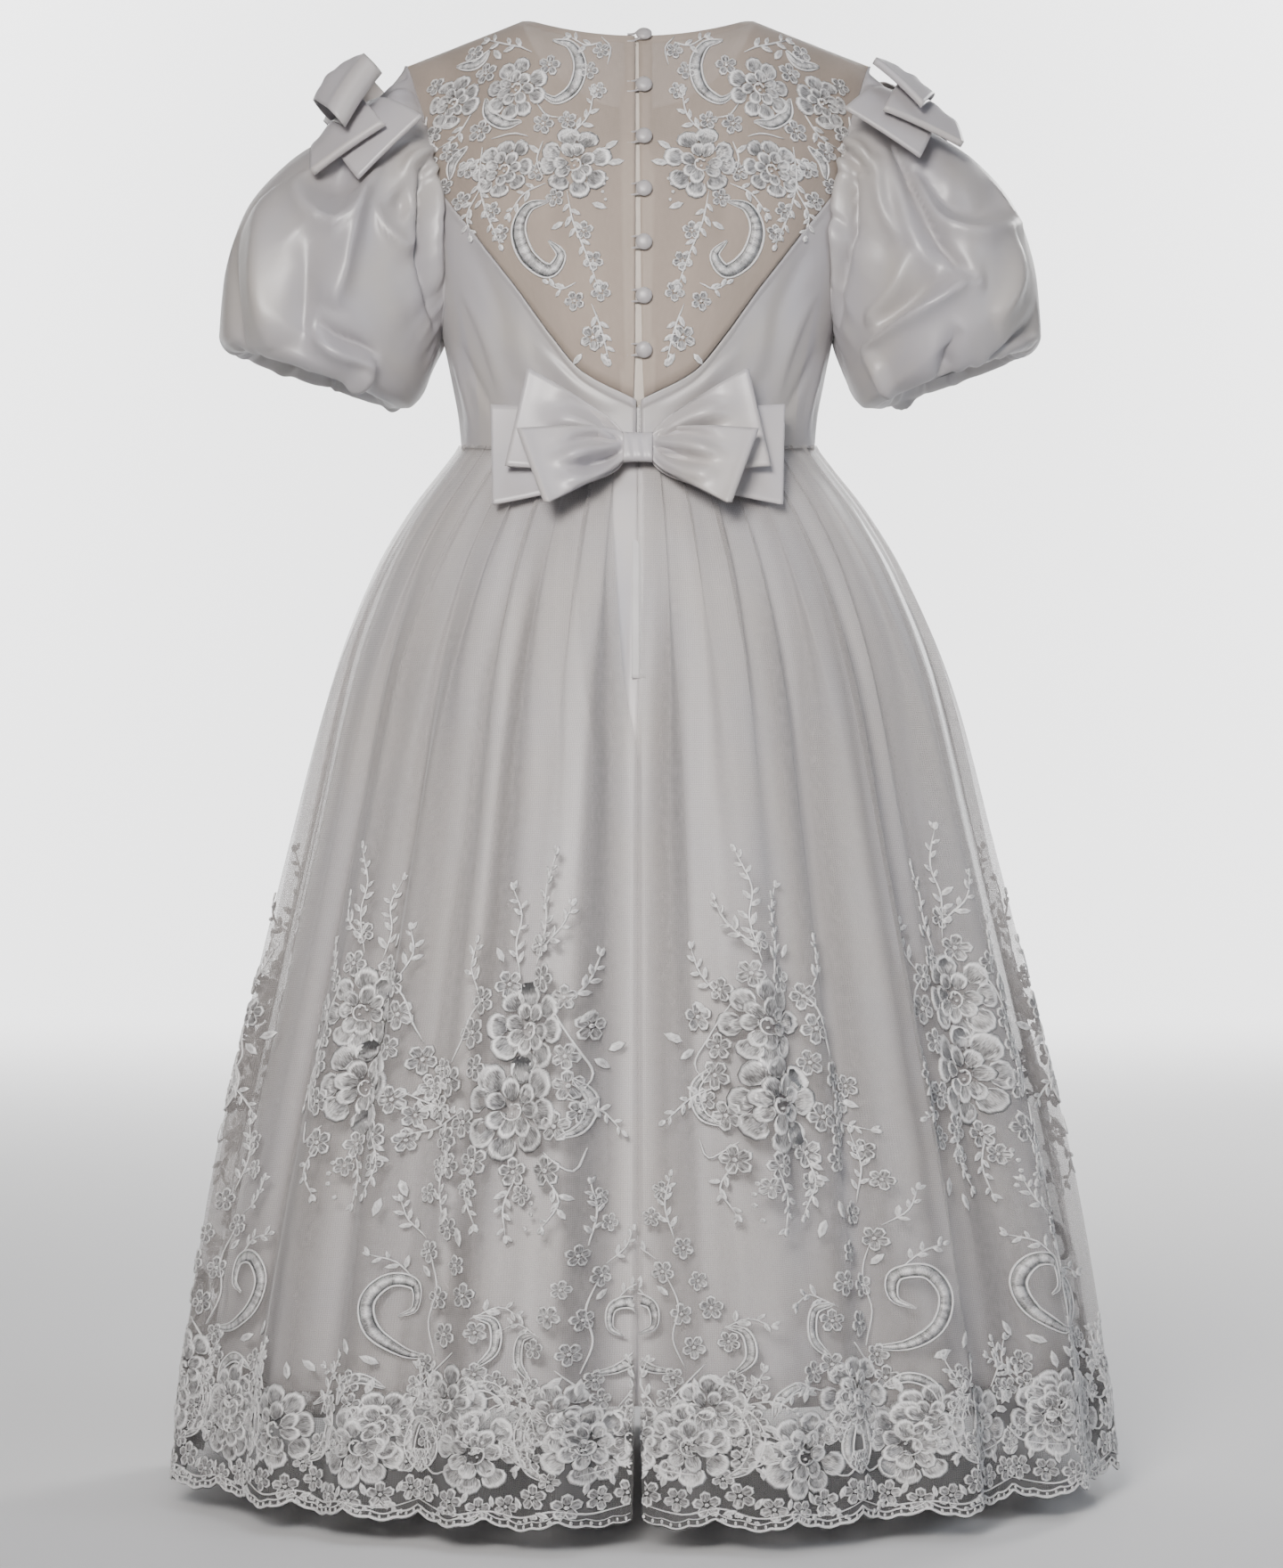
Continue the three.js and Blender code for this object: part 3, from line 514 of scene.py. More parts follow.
def bodiceHalf(side, front):
    share = np.linspace(0, 1, bodice["veeColumns"])
    offset = 0 if front else bodice["zipLeft" if side < 0 else "zipRight"] * side
    firstTurn = float(edgeTurn(offset, torsoAt(vee["point"])["halfWidth"]))
    veeDrop = (frontEdgeAt if front else veeAt)(share * vee["turn"])["drop"]
    lower = lowerArmholeAt(np.linspace(0, 1, bodice["armholeColumns"])[1:])
    turn = np.concatenate([blend(firstTurn, vee["turn"], share), lower["turn"]])[None, :]
    edge = np.concatenate([veeDrop, lower["drop"]])[None, :]
    bottom = waistDrop(side * (180 - turn if front else turn)) + bodice["waistLap"]
    drop = blend(bottom, edge + bodice["seamGap"], np.linspace(0, 1, bodice["rows"])[:, None])
    turn = np.broadcast_to(turn, drop.shape)
    stretch = bodice["leftStretch"] if side < 0 else 1
    height = creaseHeight(bodice["creases"], turn * degreeAround * stretch, drop)
    below = drop - edge
    armTurn = np.interp(drop, lower["drop"], lower["turn"]) + np.maximum(drop - underarmDrop, 0)
    height *= smoothStep(2, 16, below) * smoothStep(0.5, 7, armTurn - turn)
    # the turned-in edge lies double along the V, with a soft step below it
    pressed = bodice["pressDepth"] * (1 - smoothStep(0.6, 1, below / bodice["pressWidth"]))
    height += pressed * (1 - smoothStep(52, 59, turn))
    height *= bodice["frontPull" if front else "backPull"]
    height *= smoothStep(0, 6, bottom - drop)
    return pushOut(onForm(turn, drop, side, front), height)


for side, word in ((-1, "Left"), (1, "Right")):
    back = bodiceHalf(side, False)
    makeCloth("bodiceBack" + word, back, bodice["wall"], satin, "satin", panel=True)
front = mirrorJoin(bodiceHalf(-1, True), bodiceHalf(1, True))
makeCloth("bodiceFront", front, bodice["wall"], satin, "satin", panel=True)
print("bodice made")

yoke = {
    "wall": 0.5, "rows": 46, "columns": 44, "neckShare": 3 / 8, "hemWidth": 7, "neckHem": 5, "hemStep": 0.35,
    "seamHalf": 0.5, "tipHalf": 0.9, "under": 0.9,
    "creases": rowsOf(
        "from to width depth bow",
        ((20, 60), (12, 250), 5, 0.5, 3), ((60, 80), (34, 226), 8, 0.9, 6),
        ((96, 40), (80, 160), 9, -0.8, 5), ((44, 30), (96, 50), 6, 0.7, 4)),
}
openingAt = tableReader("drop left right", (0, 1.9, 0.3), (120, 1.8, 1.4), (230, 2.1, 2.8),
                        (vee["point"], 3, 4))


def yokeRelief(x, drop):
    return creaseHeight(yoke["creases"], x, drop) * smoothStep(20, 34, drop)


def yokeHalf(side, front):
    word = "left" if side < 0 else "right"
    neckHalf, neckShare = torsoAt(neck["back"])["halfWidth"], yoke["neckShare"]
    neckTurn = float(edgeTurn(neck["half"], neckHalf))
    rows = np.sin(np.linspace(0, 1, yoke["rows"]) * math.pi / 2)[:, None]
    across = np.linspace(0, 1, yoke["columns"])[None, :]
    veeHalf = torsoAt(vee["point"])["halfWidth"]
    firstTurn = 0 if front else float(edgeTurn(openingAt(vee["point"])[word], veeHalf))
    bottomTurn = np.maximum(across * vee["turn"], firstTurn)
    topTurn = np.where(across <= neckShare, across / neckShare * neckTurn,
                       blend(neckTurn, 90, (across - neckShare) / (1 - neckShare)))
    neckX = np.minimum(np.abs(neckHalf * np.sin(radians(topTurn))) / neck["half"], 1)
    neckline = neck["front" if front else "back"] * (1 - neckX ** 2) ** 0.8
    armhole = upperArmholeAt(rows)
    turn = blend(bottomTurn, topTurn, rows)
    turn = turn + across * (armhole["turn"] - blend(vee["turn"], 90, rows))
    bottom = (frontEdgeAt if front else veeAt)(bottomTurn)["drop"] + yoke["under"]
    drop = blend(bottom, neckline, rows) + across * (armhole["drop"] - blend(vee["drop"], 0, rows))
    drop = np.maximum(drop, 0)
    if not front:
        atOpening = edgeTurn(openingAt(drop)[word], torsoAt(drop)["halfWidth"])
        turn = turn + (atOpening - turn) * (1 - smoothStep(0, 0.02, across))
    points = onForm(turn, drop, side, front)
    seam = blend(yoke["seamHalf"], yoke["tipHalf"], across ** 4)
    depth = np.maximum(np.abs(points[..., 1]), seam)
    points[..., 1] = depth if front else -depth
    x = np.abs(points[..., 0])
    fromNeck = drop - neckline + 40 * (neckX >= 1)
    doubled = 1 - smoothStep(yoke["neckHem"] - 0.6, yoke["neckHem"], fromNeck)
    if not front:
        fromOpening = x - openingAt(drop)[word]
        doubled = np.maximum(doubled, 1 - smoothStep(yoke["hemWidth"] - 0.5, yoke["hemWidth"], fromOpening))
    return pushOut(points, yokeRelief(x, drop) + yoke["hemStep"] * doubled), doubled


def makeYoke(name, points, doubled):
    makeCloth(name, points, yoke["wall"], nudeMesh, "illusion_mesh", panel=True,
              marks={"doubled": doubled})


makeYoke("yokeBackLeft", *yokeHalf(-1, False))
makeYoke("yokeBackRight", *yokeHalf(1, False))
makeYoke("yokeFront", *(mirrorJoin(*halves) for halves in zip(yokeHalf(-1, True), yokeHalf(1, True))))

underlap = {"halfWidth": 9, "middle": 0.5, "wall": 0.8, "inset": 2.2, "rows": 60, "columns": 9, "past": 5}
upShare = np.sin(np.linspace(0, 1, underlap["rows"]) * math.pi / 2)[:, None]
dropAlong = blend(vee["point"] + underlap["past"], neck["back"] + 1, upShare)
offsets = underlap["middle"] + np.linspace(-1, 1, underlap["columns"])[None, :] * underlap["halfWidth"]
underPoints = torsoPoint(edgeTurn(offsets, torsoAt(dropAlong)["halfWidth"]), dropAlong, -underlap["inset"])
makeCloth("buttonUnderlap", underPoints, underlap["wall"], creamCloth, "cream_mesh")
print("yoke made")

# How the skirt falls. A pleat is its turn, width in degrees and depth in millimetres at the
# waist, how far it laps on itself, and its drift towards the hem; depth's sign is the side it is
# laid. A swell is its turn, half width in degrees and height at the hem
skirt = {
    "backColumns": 240, "frontColumns": 400, "rows": 80, "satinColumns": 90, "satinRows": 50,
    "lobes": 42, "lobeDepth": 5.5, "bitDepth": 1.6, "wall": 0.9, "waistPull": 0.2, "waistRise": 1.3,
    "room": 2.2, "settle": -3.0, "swellDepth": 1.45, "pleatWiden": 1.3, "lap": (0.85, 0.05),
    "deepen": (1.0, 3.9), "hemward": 0.6, "ridge": 0.12,
    # the satin below follows the swells and pleats more softly, and hangs a little inside
    "satin": {"swell": 0.8, "inset": 0.62, "gap": 1.6, "pleatWidth": 2.2, "pleatDepth": 0.5,
              "belowWaist": 1.5},
    "backPleats": [
        (-84, 1.7, 1.8, 0.9, 0), (-74, 1.4, -1.6, 1.1, 2), (-66, 1.9, 1.9, 0.8, -1), (-57, 1.3, 1.6, 1.2, 1),
        (-48, 1.8, -1.8, 0.9, 0), (-40, 1.3, 1.6, 1.2, -1), (-34, 1.6, 2.0, 1.3, 1), (-27, 1.2, -1.7, 1.1, 0),
        (-20, 1.5, 1.5, 0.8, 1), (-13, 1.4, -1.9, 1.2, 1), (-7, 1.1, 1.5, 0.9, 1), (6.5, 1.2, 1.6, 0.9, -1),
        (13, 1.5, -2.0, 1.3, 0), (20, 1.5, 2.0, 1.3, -2), (27, 1.3, 1.5, 0.9, 1), (34, 1.7, -1.9, 1.2, 0),
        (42, 1.4, 1.6, 1.0, 1), (50, 1.8, 1.8, 0.8, 0), (58, 1.3, -1.6, 1.2, -1), (67, 1.8, 1.7, 0.9, 0),
        (76, 1.5, -1.7, 1.1, 1), (84, 1.4, 1.5, 0.9, 0),
    ],
    "swells": [
        (-48, 5, 11), (-34, 5, 12), (-15, 7, 13), (18, 7, 13), (35, 5.5, 10), (58, 6, 11), (-66, 6, 9),
        (76, 6, 9), (-41, 3.5, -6), (-25, 3.5, -7), (-2, 4.5, -8), (28.5, 3.5, -6), (48.5, 4, -6),
        (-57, 3.5, -4), (-8, 1.8, 3), (8, 2.2, 4), (24, 1.8, 3), (-20, 1.6, 3), (-52, 1.8, 3), (41, 2, 4),
        (-29, 1.7, 3),
    ],
    # soft breaks in the satin behind the slit: across from the centre back, down from the waist
    "creases": rowsOf(
        "from to width depth bow",
        ((-16, 60), (-9, 190), 4, 2.6, 2), ((-2, 50), (-7, 170), 4, -2.4, -2),
        ((10, 70), (2, 230), 5, 2.2, 3), ((22, 90), (30, 300), 9, 2.4, 4),
        ((-30, 90), (-44, 320), 10, 2.4, -4), ((-7, 96), (9, 116), 3, 1.4, 1),
        ((-9, 130), (6, 156), 3, -1.4, 1)),
}
slitAt = tableReader("fall left right", (0, 15, 3), (84, 13, 2.4), (150, 9, 1.4), (210, -0.5, -0.5),
                     (500, -0.5, -0.5), (600, 1.4, 1.0), (690, 3.6, 3.0))
skirtPanels = ((-1, "BackLeft", False), (1, "BackRight", False), (1, "Front", True))
chance = random.Random(11)


# The sides and the front fall as the back does, with pleats and swells of the same kinds
def restOfSkirt():
    pleats, swells = [], []
    turn = 92.0
    while turn < 268:
        pleats.append((turn, chance.uniform(1.1, 1.9), chance.choice((-1, 1)) * chance.uniform(1.5, 2.0),
                       chance.choice((0.8, 0.9, 1.1, 1.3)), chance.uniform(-2, 2)))
        turn += chance.uniform(6, 9.5)
    turn, sign = 96.0, 1
    while turn < 266:
        halfWidth = chance.uniform(3.5, 7)
        swells.append((turn, halfWidth, chance.uniform(8, 13) if sign > 0 else -chance.uniform(3, 7)))
        turn += chance.uniform(7, 11)
        sign = -sign
    return pleats, swells


morePleats, moreSwells = restOfSkirt()
pleats, swells = skirt["backPleats"] + morePleats, skirt["swells"] + moreSwells


def angleBetween(turn, other):
    return (turn - other + 180) % 360 - 180


def skirtSwell(turn, fall):
    grown = blend(smoothStep(0, 190, fall), smoothStep(15, 520, fall), 0.45)
    height = np.full(np.broadcast(turn, fall).shape, skirt["settle"])
    for at, halfWidth, out in swells:
        height += skirt["swellDepth"] * out * np.exp(-0.5 * (angleBetween(turn, at) / halfWidth) ** 2)
    return height * grown


# Where a point lies across each pleat, in pleat widths, which grow towards the hem
def pleatShares(turn, fall):
    for at, width, depth, over, drift in pleats:
        grown = width * (1 + skirt["pleatWiden"] * fall / skirtFall)
        yield angleBetween(turn, at + drift * fall / skirtFall) / grown, grown, depth, over


# How far a fold turns the net edge on, or lays it double, from 0 to 1; the net is made denser there, and
# darker as painted fold shade
def foldedShare(turn, fall):
    rise = skirtSwell(turn + 0.5, fall) - skirtSwell(turn - 0.5, fall)
    slope = np.abs(rise) / (skirtAt(fall)["halfWidth"] * math.pi / 180)
    folded = smoothStep(0.12, 0.62, slope)
    fading = blend(1, 0.3, smoothStep(60, 420, fall))
    for share, _, _, over in pleatShares(turn, fall):
        folded = folded + 0.34 * over * np.exp(-(share / 1.3) ** 2) * fading
    return np.clip(folded, 0, 1)


def skirtPoint(turn, fall, out):
    x, y = ringPoint(skirtAt(fall), turn, out)
    stretch = (hemDrop - waistDrop(turn)) / skirtFall
    return np.stack(np.broadcast_arrays(x, y, -waistDrop(turn) - fall * stretch), axis=-1)


# A pleat carries the cloth round in an S: over itself near the waist, and into an open fold below
def overlayFold(turn, fall):
    turn, fall = np.broadcast_arrays(np.asarray(turn, float), np.asarray(fall, float))
    angle, out = turn.copy(), 1.8 + 0.6 * smoothStep(0, 60, fall)
    lap = blend(*skirt["lap"], smoothStep(15, 260, fall))
    deepen = blend(*skirt["deepen"], smoothStep(0, 240, fall))
    deepen = deepen * blend(1, skirt["hemward"], smoothStep(420, 680, fall))
    for share, grown, depth, over in pleatShares(turn, fall):
        curve = share * np.exp(0.5 - np.clip(share, -5, 5) ** 2 / 2)
        angle -= over * grown * curve * lap
        out += -depth * deepen * curve * 0.8 + abs(depth) * deepen * skirt["ridge"] * np.exp(-share ** 2)
    return angle, fall, out + skirtSwell(turn, fall)


def overlayPoint(turn, fall):
    return skirtPoint(*overlayFold(turn, fall))


# The fall at the scalloped hem: lobes, each bitten into smaller ones
def hemFall(turn):
    lobe, bit = (np.abs(np.sin(radians(turn) * skirt["lobes"] * times / 2)) for times in (1, 3))
    return skirtFall - skirt["lobeDepth"] * (1 - lobe) - skirt["bitDepth"] * (1 - bit)


def overlayPanel(side, front):
    share = np.linspace(0, 1, skirt["frontColumns" if front else "backColumns"])[None, :]
    down = (np.linspace(1, 0, skirt["rows"]) ** 1.15)[:, None]
    if front:
        turn = blend(90, 270, share) + 0 * down
    else:
        nearFall = down * skirtFall
        slit = slitAt(nearFall)["left" if side < 0 else "right"]
        turn = side * blend(edgeTurn(slit, skirtAt(nearFall)["halfWidth"]), 90, share)
    trim = (skirtFall - hemFall(turn)) * smoothStep(0.93, 1, down)
    fall = down * (skirtFall + skirt["waistRise"]) - skirt["waistRise"] - trim
    turn, fall = np.broadcast_arrays(turn, fall)
    # where the net hangs below the satin's hem it is given painted shade
    bare = smoothStep(underskirtFall - 4, underskirtFall + 14, fall)
    return overlayPoint(turn, fall), {"bare": bare, "folded": foldedShare(turn, fall)}


def underskirtPoint(turn, fall):
    ring, soft = skirtAt(fall), skirt["satin"]
    out = soft["swell"] * skirtSwell(turn, fall) - soft["inset"] * ring["inset"] - soft["gap"]
    for at, width, depth, _, _ in pleats:
        share = angleBetween(turn, at) / (width * soft["pleatWidth"])
        out = out + abs(depth) * soft["pleatDepth"] * np.exp(-share ** 2) * smoothStep(0, 60, fall)
    across, atBack = np.sin(radians(turn)) * ring["halfWidth"], np.cos(radians(turn)) > 0
    pastWaist = smoothStep(20, 80, fall)
    creases = creaseHeight(skirt["creases"], across, fall) * atBack
    out = out + creases - soft["belowWaist"] * pastWaist
    # where the tulle dips deeper than the satin, the satin gives way
    room = overlayFold(turn, fall)[2] - skirt["room"] * pastWaist - out
    return skirtPoint(turn, fall, out + np.minimum(room, 0) * smoothStep(0, 40, fall))


def underskirtPanel(side, front):
    share = np.linspace(0, 1, skirt["satinColumns"] * (2 if front else 1))[None, :]
    down = (np.linspace(1, 0, skirt["satinRows"]) ** 1.1)[:, None]
    turn = blend(90, 270, share) if front else side * blend(-0.05, 90, share)
    fall = skirt["waistPull"] + down * (underskirtFall - skirt["waistPull"])
    return underskirtPoint(*np.broadcast_arrays(turn, fall))


for side, word, front in skirtPanels:
    points = underskirtPanel(side, front)
    makeCloth("underskirt" + word, points, skirt["wall"], underSatin, "satin")
print("underskirt made")

# Embroidery is drawn flat, in millimetres: x across and y up. A drawing is a list of parts, each
# its points, heights off the cloth, tones, thread directions and faces. Lift is how far the whole
# of it stands off the net, and step is how far apart the points of a stem lie
stitch = {"lift": 0.55, "petal": 1.3, "leaf": 1.0, "cord": 0.95, "cordWidth": 1.5, "bead": 1.5, "step": 4,
          "leafTone": 0.9, "cordTone": 0.95}
sprig = {"leaf": 9.0, "every": 8.0, "bud": 3.2}
scroll = {"step": 2.2, "cordWidth": 1.7, "cordHeight": 1.1, "fill": 0.8}


# A petal or leaf of satin stitch: a bright rim, and stitches that fan out from its foot; its hollow ring and
# middle take low tones, painted shade
def addPatch(drawing, outline, height, direction, tone=1.0, hollow=None, foot=None):
    count = len(outline)
    middle = outline.mean() if foot is None else foot
    rings = [(1.0, 0.1, 0.6), (0.85, 1.0, 1.0)]
    if hollow is not None:
        rings.append((0.68, 0.4, hollow))
    points = np.concatenate([middle + (outline - middle) * scale for scale, _, _ in rings] + [[middle]])
    heights = np.concatenate([np.full(count, high * height) for _, high, _ in rings] + [[0.8 * height]])
    tones = np.concatenate([np.full(count, shade * tone) for _, _, shade in rings] + [[0.4 * tone]])
    tones[2 * count:len(rings) * count:2] += 0.36 * tone
    last = (len(rings) - 1) * count
    faces = [(a + i, a + (i + 1) % count, a + count + (i + 1) % count, a + count + i)
             for a in range(0, last, count) for i in range(count)]
    faces += [(last + i, last + (i + 1) % count, last + count) for i in range(count)]
    faces.append(tuple(range(count))[::-1])
    grain = points * np.exp(-1j * direction)
    drawing.append((points, heights, tones, np.stack([grain.imag, grain.real], axis=-1), faces))


def pathNormals(path):
    along = np.gradient(path)
    return 1j * along / np.maximum(np.abs(along), 1e-6)


# A strip along a path: two flanks that meet in a middle line, and a flat underside
def addStrip(drawing, path, side, width, heights, tones, ends=()):
    count = len(path)
    points = np.stack([path + side, path, path - side], axis=1).ravel()
    grain = np.stack([np.repeat(lengthsAlong(path), 3), np.tile([-0.5, 0, 0.5], count) * width], axis=-1)
    faces = [(a + i, a + (i + 1) % 3, a + 3 + (i + 1) % 3, a + 3 + i)
             for a in range(0, 3 * count - 3, 3) for i in range(3)]
    drawing.append((points, heights, tones, grain, faces + list(ends)))


# A couched cord, which thins at its ends
def addCord(drawing, path, width, height):
    last = 3 * len(path) - 3
    share = np.linspace(0, 1, len(path))
    half = width / 2 * np.clip(0.35 + 3 * np.minimum(share, 1 - share), 0, 1)
    addStrip(drawing, path, pathNormals(path) * half, width, np.tile([0.0, height, 0.0], len(path)),
             np.full(last + 3, stitch["cordTone"]), [(0, 2, 1), (last, last + 1, last + 2)])


# A filled scroll: cords along both edges and laddered stitches between them
def addScroll(drawing, points, width):
    path = smoothPath(points, scroll["step"])
    count = len(path)
    swollen = np.sin(math.pi * np.linspace(0, 1, count)) ** 0.6
    side = pathNormals(path) * (width / 2 * np.clip(swollen, 0.12, 1))
    for flank in (-1, 1):
        addCord(drawing, path + flank * side, scroll["cordWidth"], stitch["cord"] * scroll["cordHeight"])
    rung = np.repeat([0.45 + 0.15 * (i % 2) + chance.uniform(-0.25, 0.25) for i in range(count)], 3)
    heights = np.tile([0.15, 0.35, 0.15], count) * (0.8 + rung)
    addStrip(drawing, path, side * scroll["fill"], width, heights, rung)


def roundOutline(middle, length, width, turn, count, frill=0.0, bumps=3):
    angle = np.arange(count) * 2 * math.pi / count
    grow = 1 + frill * np.cos(bumps * angle)
    flat = length / 2 * np.cos(angle) * grow + 1j * width / 2 * np.sin(angle) * grow
    return middle + flat * np.exp(1j * turn)


def addBead(drawing, middle, size, height, tone=1.0):
    addPatch(drawing, roundOutline(middle, size, size, 0, 5), height, 0, tone)


def addLeaf(drawing, base, length, turn):
    share = np.array([0, 0.28, 0.68, 1, 0.68, 0.28])
    side = np.array([0, 0.189, 0.1785, 0, -0.1785, -0.189])
    outline = base + (share + 1j * side) * length * np.exp(1j * turn)
    addPatch(drawing, outline[::-1], stitch["leaf"], turn + 0.5, stitch["leafTone"])


def addBlossom(drawing, x, y, size, turn):
    middle, petals = complex(x, y), 5
    for i in range(petals):
        at = turn + i * 2 * math.pi / petals
        outwards = size * np.exp(1j * at)
        outline = roundOutline(middle + 0.31 * outwards, size * 0.42, size * 0.40, at, 6)
        addPatch(drawing, outline, stitch["petal"] * 0.85, at, chance.uniform(0.75, 1.0), 0.1,
                 middle + 0.14 * outwards)
    addBead(drawing, middle, size * 0.16, stitch["bead"])


# Rounds of a rose's petals: their distance out and length, how many (none: as many as asked
# for), how high they stand, how far they are turned, and how far out their stitches meet
roseRounds = rowsOf("out length count height shift foot", (0.38, 0.25, None, 0.8, 0, 0.24),
                    (0.21, 0.21, 7, 1.2, 0.4, 0.08))


# A rose: a round of wide petals that lap each other, a tighter round inside it and a curled heart
def addRose(drawing, x, y, size, turn, outer):
    middle = complex(x, y)
    for ring in roseRounds:
        count = ring["count"] or outer
        for i in range(count):
            at = turn + ring["shift"] + (i + chance.uniform(-0.18, 0.18)) * 2 * math.pi / count
            wide = 2 * math.pi * ring["out"] / count * size * chance.uniform(0.98, 1.2)
            long = ring["length"] * size * chance.uniform(0.85, 1.15)
            reach = ring["out"] * size * chance.uniform(0.93, 1.07)
            outline = roundOutline(middle + reach * np.exp(1j * at), long, wide,
                                   at + chance.uniform(-0.3, 0.3), 9, 0.05, 2)
            addPatch(drawing, outline, stitch["petal"] * ring["height"], at, chance.uniform(0.66, 1.0), 0.15,
                     middle + ring["foot"] * size * np.exp(1j * at))
    swirl = np.linspace(0, 5.2, 16)
    addCord(drawing, middle + size * (0.03 + 0.02 * swirl) * np.exp(1j * (turn + swirl)), 1.6, 2.4)
    for i in range(3):
        addBead(drawing, middle + size * 0.05 * np.exp(1j * (turn + 2.1 * i)), 1.7, 2.2)


def addStem(drawing, points):
    path = smoothPath(points, stitch["step"])
    addCord(drawing, path, stitch["cordWidth"], stitch["cord"])
    return path


# A sprig: a stem with leaves on alternate sides and a bud at its tip
def addSprig(drawing, points):
    path = addStem(drawing, points)
    length, every, bud = lengthsAlong(path), sprig["every"], sprig["bud"]
    along, side = every * 0.6, 1
    while along < length[-1] - 1:
        i = min(int(np.searchsorted(length, along)), len(path) - 1)
        heading = np.angle(path[i] - path[i - 1])
        size = sprig["leaf"] * chance.uniform(0.8, 1.15) * (1 - 0.35 * along / length[-1])
        addLeaf(drawing, path[i], size, heading + side * chance.uniform(0.6, 0.95))
        side = -side
        along += every * chance.uniform(0.8, 1.2) / 1.6
    heading = np.angle(path[-1] - path[-2])
    tip = path[-1] + bud * 0.7 * np.exp(1j * heading)
    addPatch(drawing, roundOutline(tip, bud * 1.8, bud, heading, 6), stitch["petal"], heading)


def addBerries(drawing, points, size, count):
    path = smoothPath(points, 2.0)
    for i in np.linspace(0, len(path) - 1, count).astype(int):
        addBead(drawing, path[i], size, stitch["bead"] * 0.8, chance.uniform(0.8, 1.0))


def draw(parts):
    drawing = []
    for x, y, size in parts["roses"]:
        addRose(drawing, x, y, size, chance.uniform(0, 1), 8 if size > 36 else 7)
    for x, y, size in parts["blossoms"]:
        addBlossom(drawing, x, y, size, chance.uniform(0, 1.2))
    for points in parts["sprigs"]:
        addSprig(drawing, points)
    for points in parts["stems"]:
        addStem(drawing, points)
    for width, points in parts["scrolls"]:
        addScroll(drawing, points, width)
    for x, y, length, turn in parts["leaves"]:
        addLeaf(drawing, complex(x, y), length, math.radians(turn))
    for size, count, points in parts.get("berries", ()):
        addBerries(drawing, points, size, count)
    return drawing


# Joins drawings laid on a surface into one mesh. A place says where the drawing's middle goes,
# and onSurface turns across and up into points and outward normals
def embroider(name, drawings, onSurface, allowed=None):
    points, tones, grains, corners, sizes, total = [], [], [], [], [], 0
    for drawing, (across, up, scale, mirror, turn) in drawings:
        spin = scale * np.exp(1j * math.radians(turn))
        for flat, heights, tone, grain, faces in drawing:
            local = (-flat.conj() if mirror else flat) * spin
            spots = np.stack([across + local.real, up + local.imag, heights * min(scale, 1)], axis=-1)
            kept = np.ones(len(spots), bool) if allowed is None else allowed(spots[:, 0], spots[:, 1])
            for face in faces:
                if kept[list(face)].all():
                    corners.append(np.array(face[::-1] if mirror else face) + total)
                    sizes.append(len(face))
            points.append(spots)
            tones.append(tone)
            # each part's thread has its own piece of the streaks
            grains.append(grain + 37.0 * len(grains))
            total += len(flat)
    points = np.concatenate(points)
    place, normal = onSurface(points[:, 0], points[:, 1])
    place = place + normal * (points[:, 2:] + stitch["lift"])
    corners = np.concatenate(corners)
    uv = np.concatenate(grains)[corners]
    used, corners = np.unique(corners, return_inverse=True)
    marks = {"tone": np.concatenate(tones)[used]}
    piece = makeMesh(name, place[used], corners, np.array(sizes), thread, uv, marks)
    declare(piece, "tulle")
    print(f"{name}: {len(sizes)} faces")
    return piece


def surfaceFrame(pointAt, first, second, step):
    across = pointAt(first + step, second) - pointAt(first - step, second)
    down = pointAt(first, second + step) - pointAt(first, second - step)
    return pointAt(first, second), unitVectors(np.cross(down, across))


# The skirt's embroidery: tall sprays, sprays that stand on the border, and the border itself
upperSpray = {
    "roses": [(-4, 16, 50), (2, -28, 56)],
    "blossoms": [(-8, 62, 14), (-42, 18, 18), (-28, 34, 15), (-12, 44, 17), (10, 40, 17), (26, 31, 17),
                 (32, 13, 19), (46, -14, 19), (60, -20, 14), (52, -30, 17), (-22, -60, 18), (0, -62, 17),
                 (22, -56, 18), (40, -60, 15), (-32, -14, 18), (27, -6, 16), (-30, 2, 16), (-26, -36, 18),
                 (32, -36, 18), (24, -72, 13), (-6, -74, 13), (44, -46, 16), (-38, -28, 14)],
    "sprigs": [[(-6, 50), (-12, 74), (-10, 92), (-18, 112)], [(4, 44), (8, 62), (6, 78), (12, 92)],
               [(-28, 30), (-40, 42), (-46, 56)], [(30, 34), (38, 48), (36, 62)],
               [(-30, -20), (-48, -28), (-62, -40)], [(34, -30), (52, -40), (70, -44)],
               [(-10, 60), (-24, 72), (-30, 84)], [(20, -54), (26, -72), (18, -90)],
               [(-22, -62), (-30, -76), (-22, -90)], [(-2, -64), (4, -80), (2, -96)]],
    "stems": [[(-20, 30), (-36, 6), (-44, -8), (-38, -18)], [(20, 36), (34, 24), (40, 8), (46, -4)],
              [(-20, -50), (-36, -60), (-42, -48)]],
    "leaves": [(-52, 4, 13, 160), (-44, 0, 12, 210), (38, -82, 12, -70), (30, -92, 12, -110),
               (56, -28, 11, -20), (-36, 20, 11, 140), (14, 52, 10, 60)],
    "scrolls": [(6, [(-34, -10), (-44, -22), (-40, -36), (-28, -42)])],
    "berries": [(3.0, 4, [(-12, -72), (-14, -82), (-10, -92)])],
}
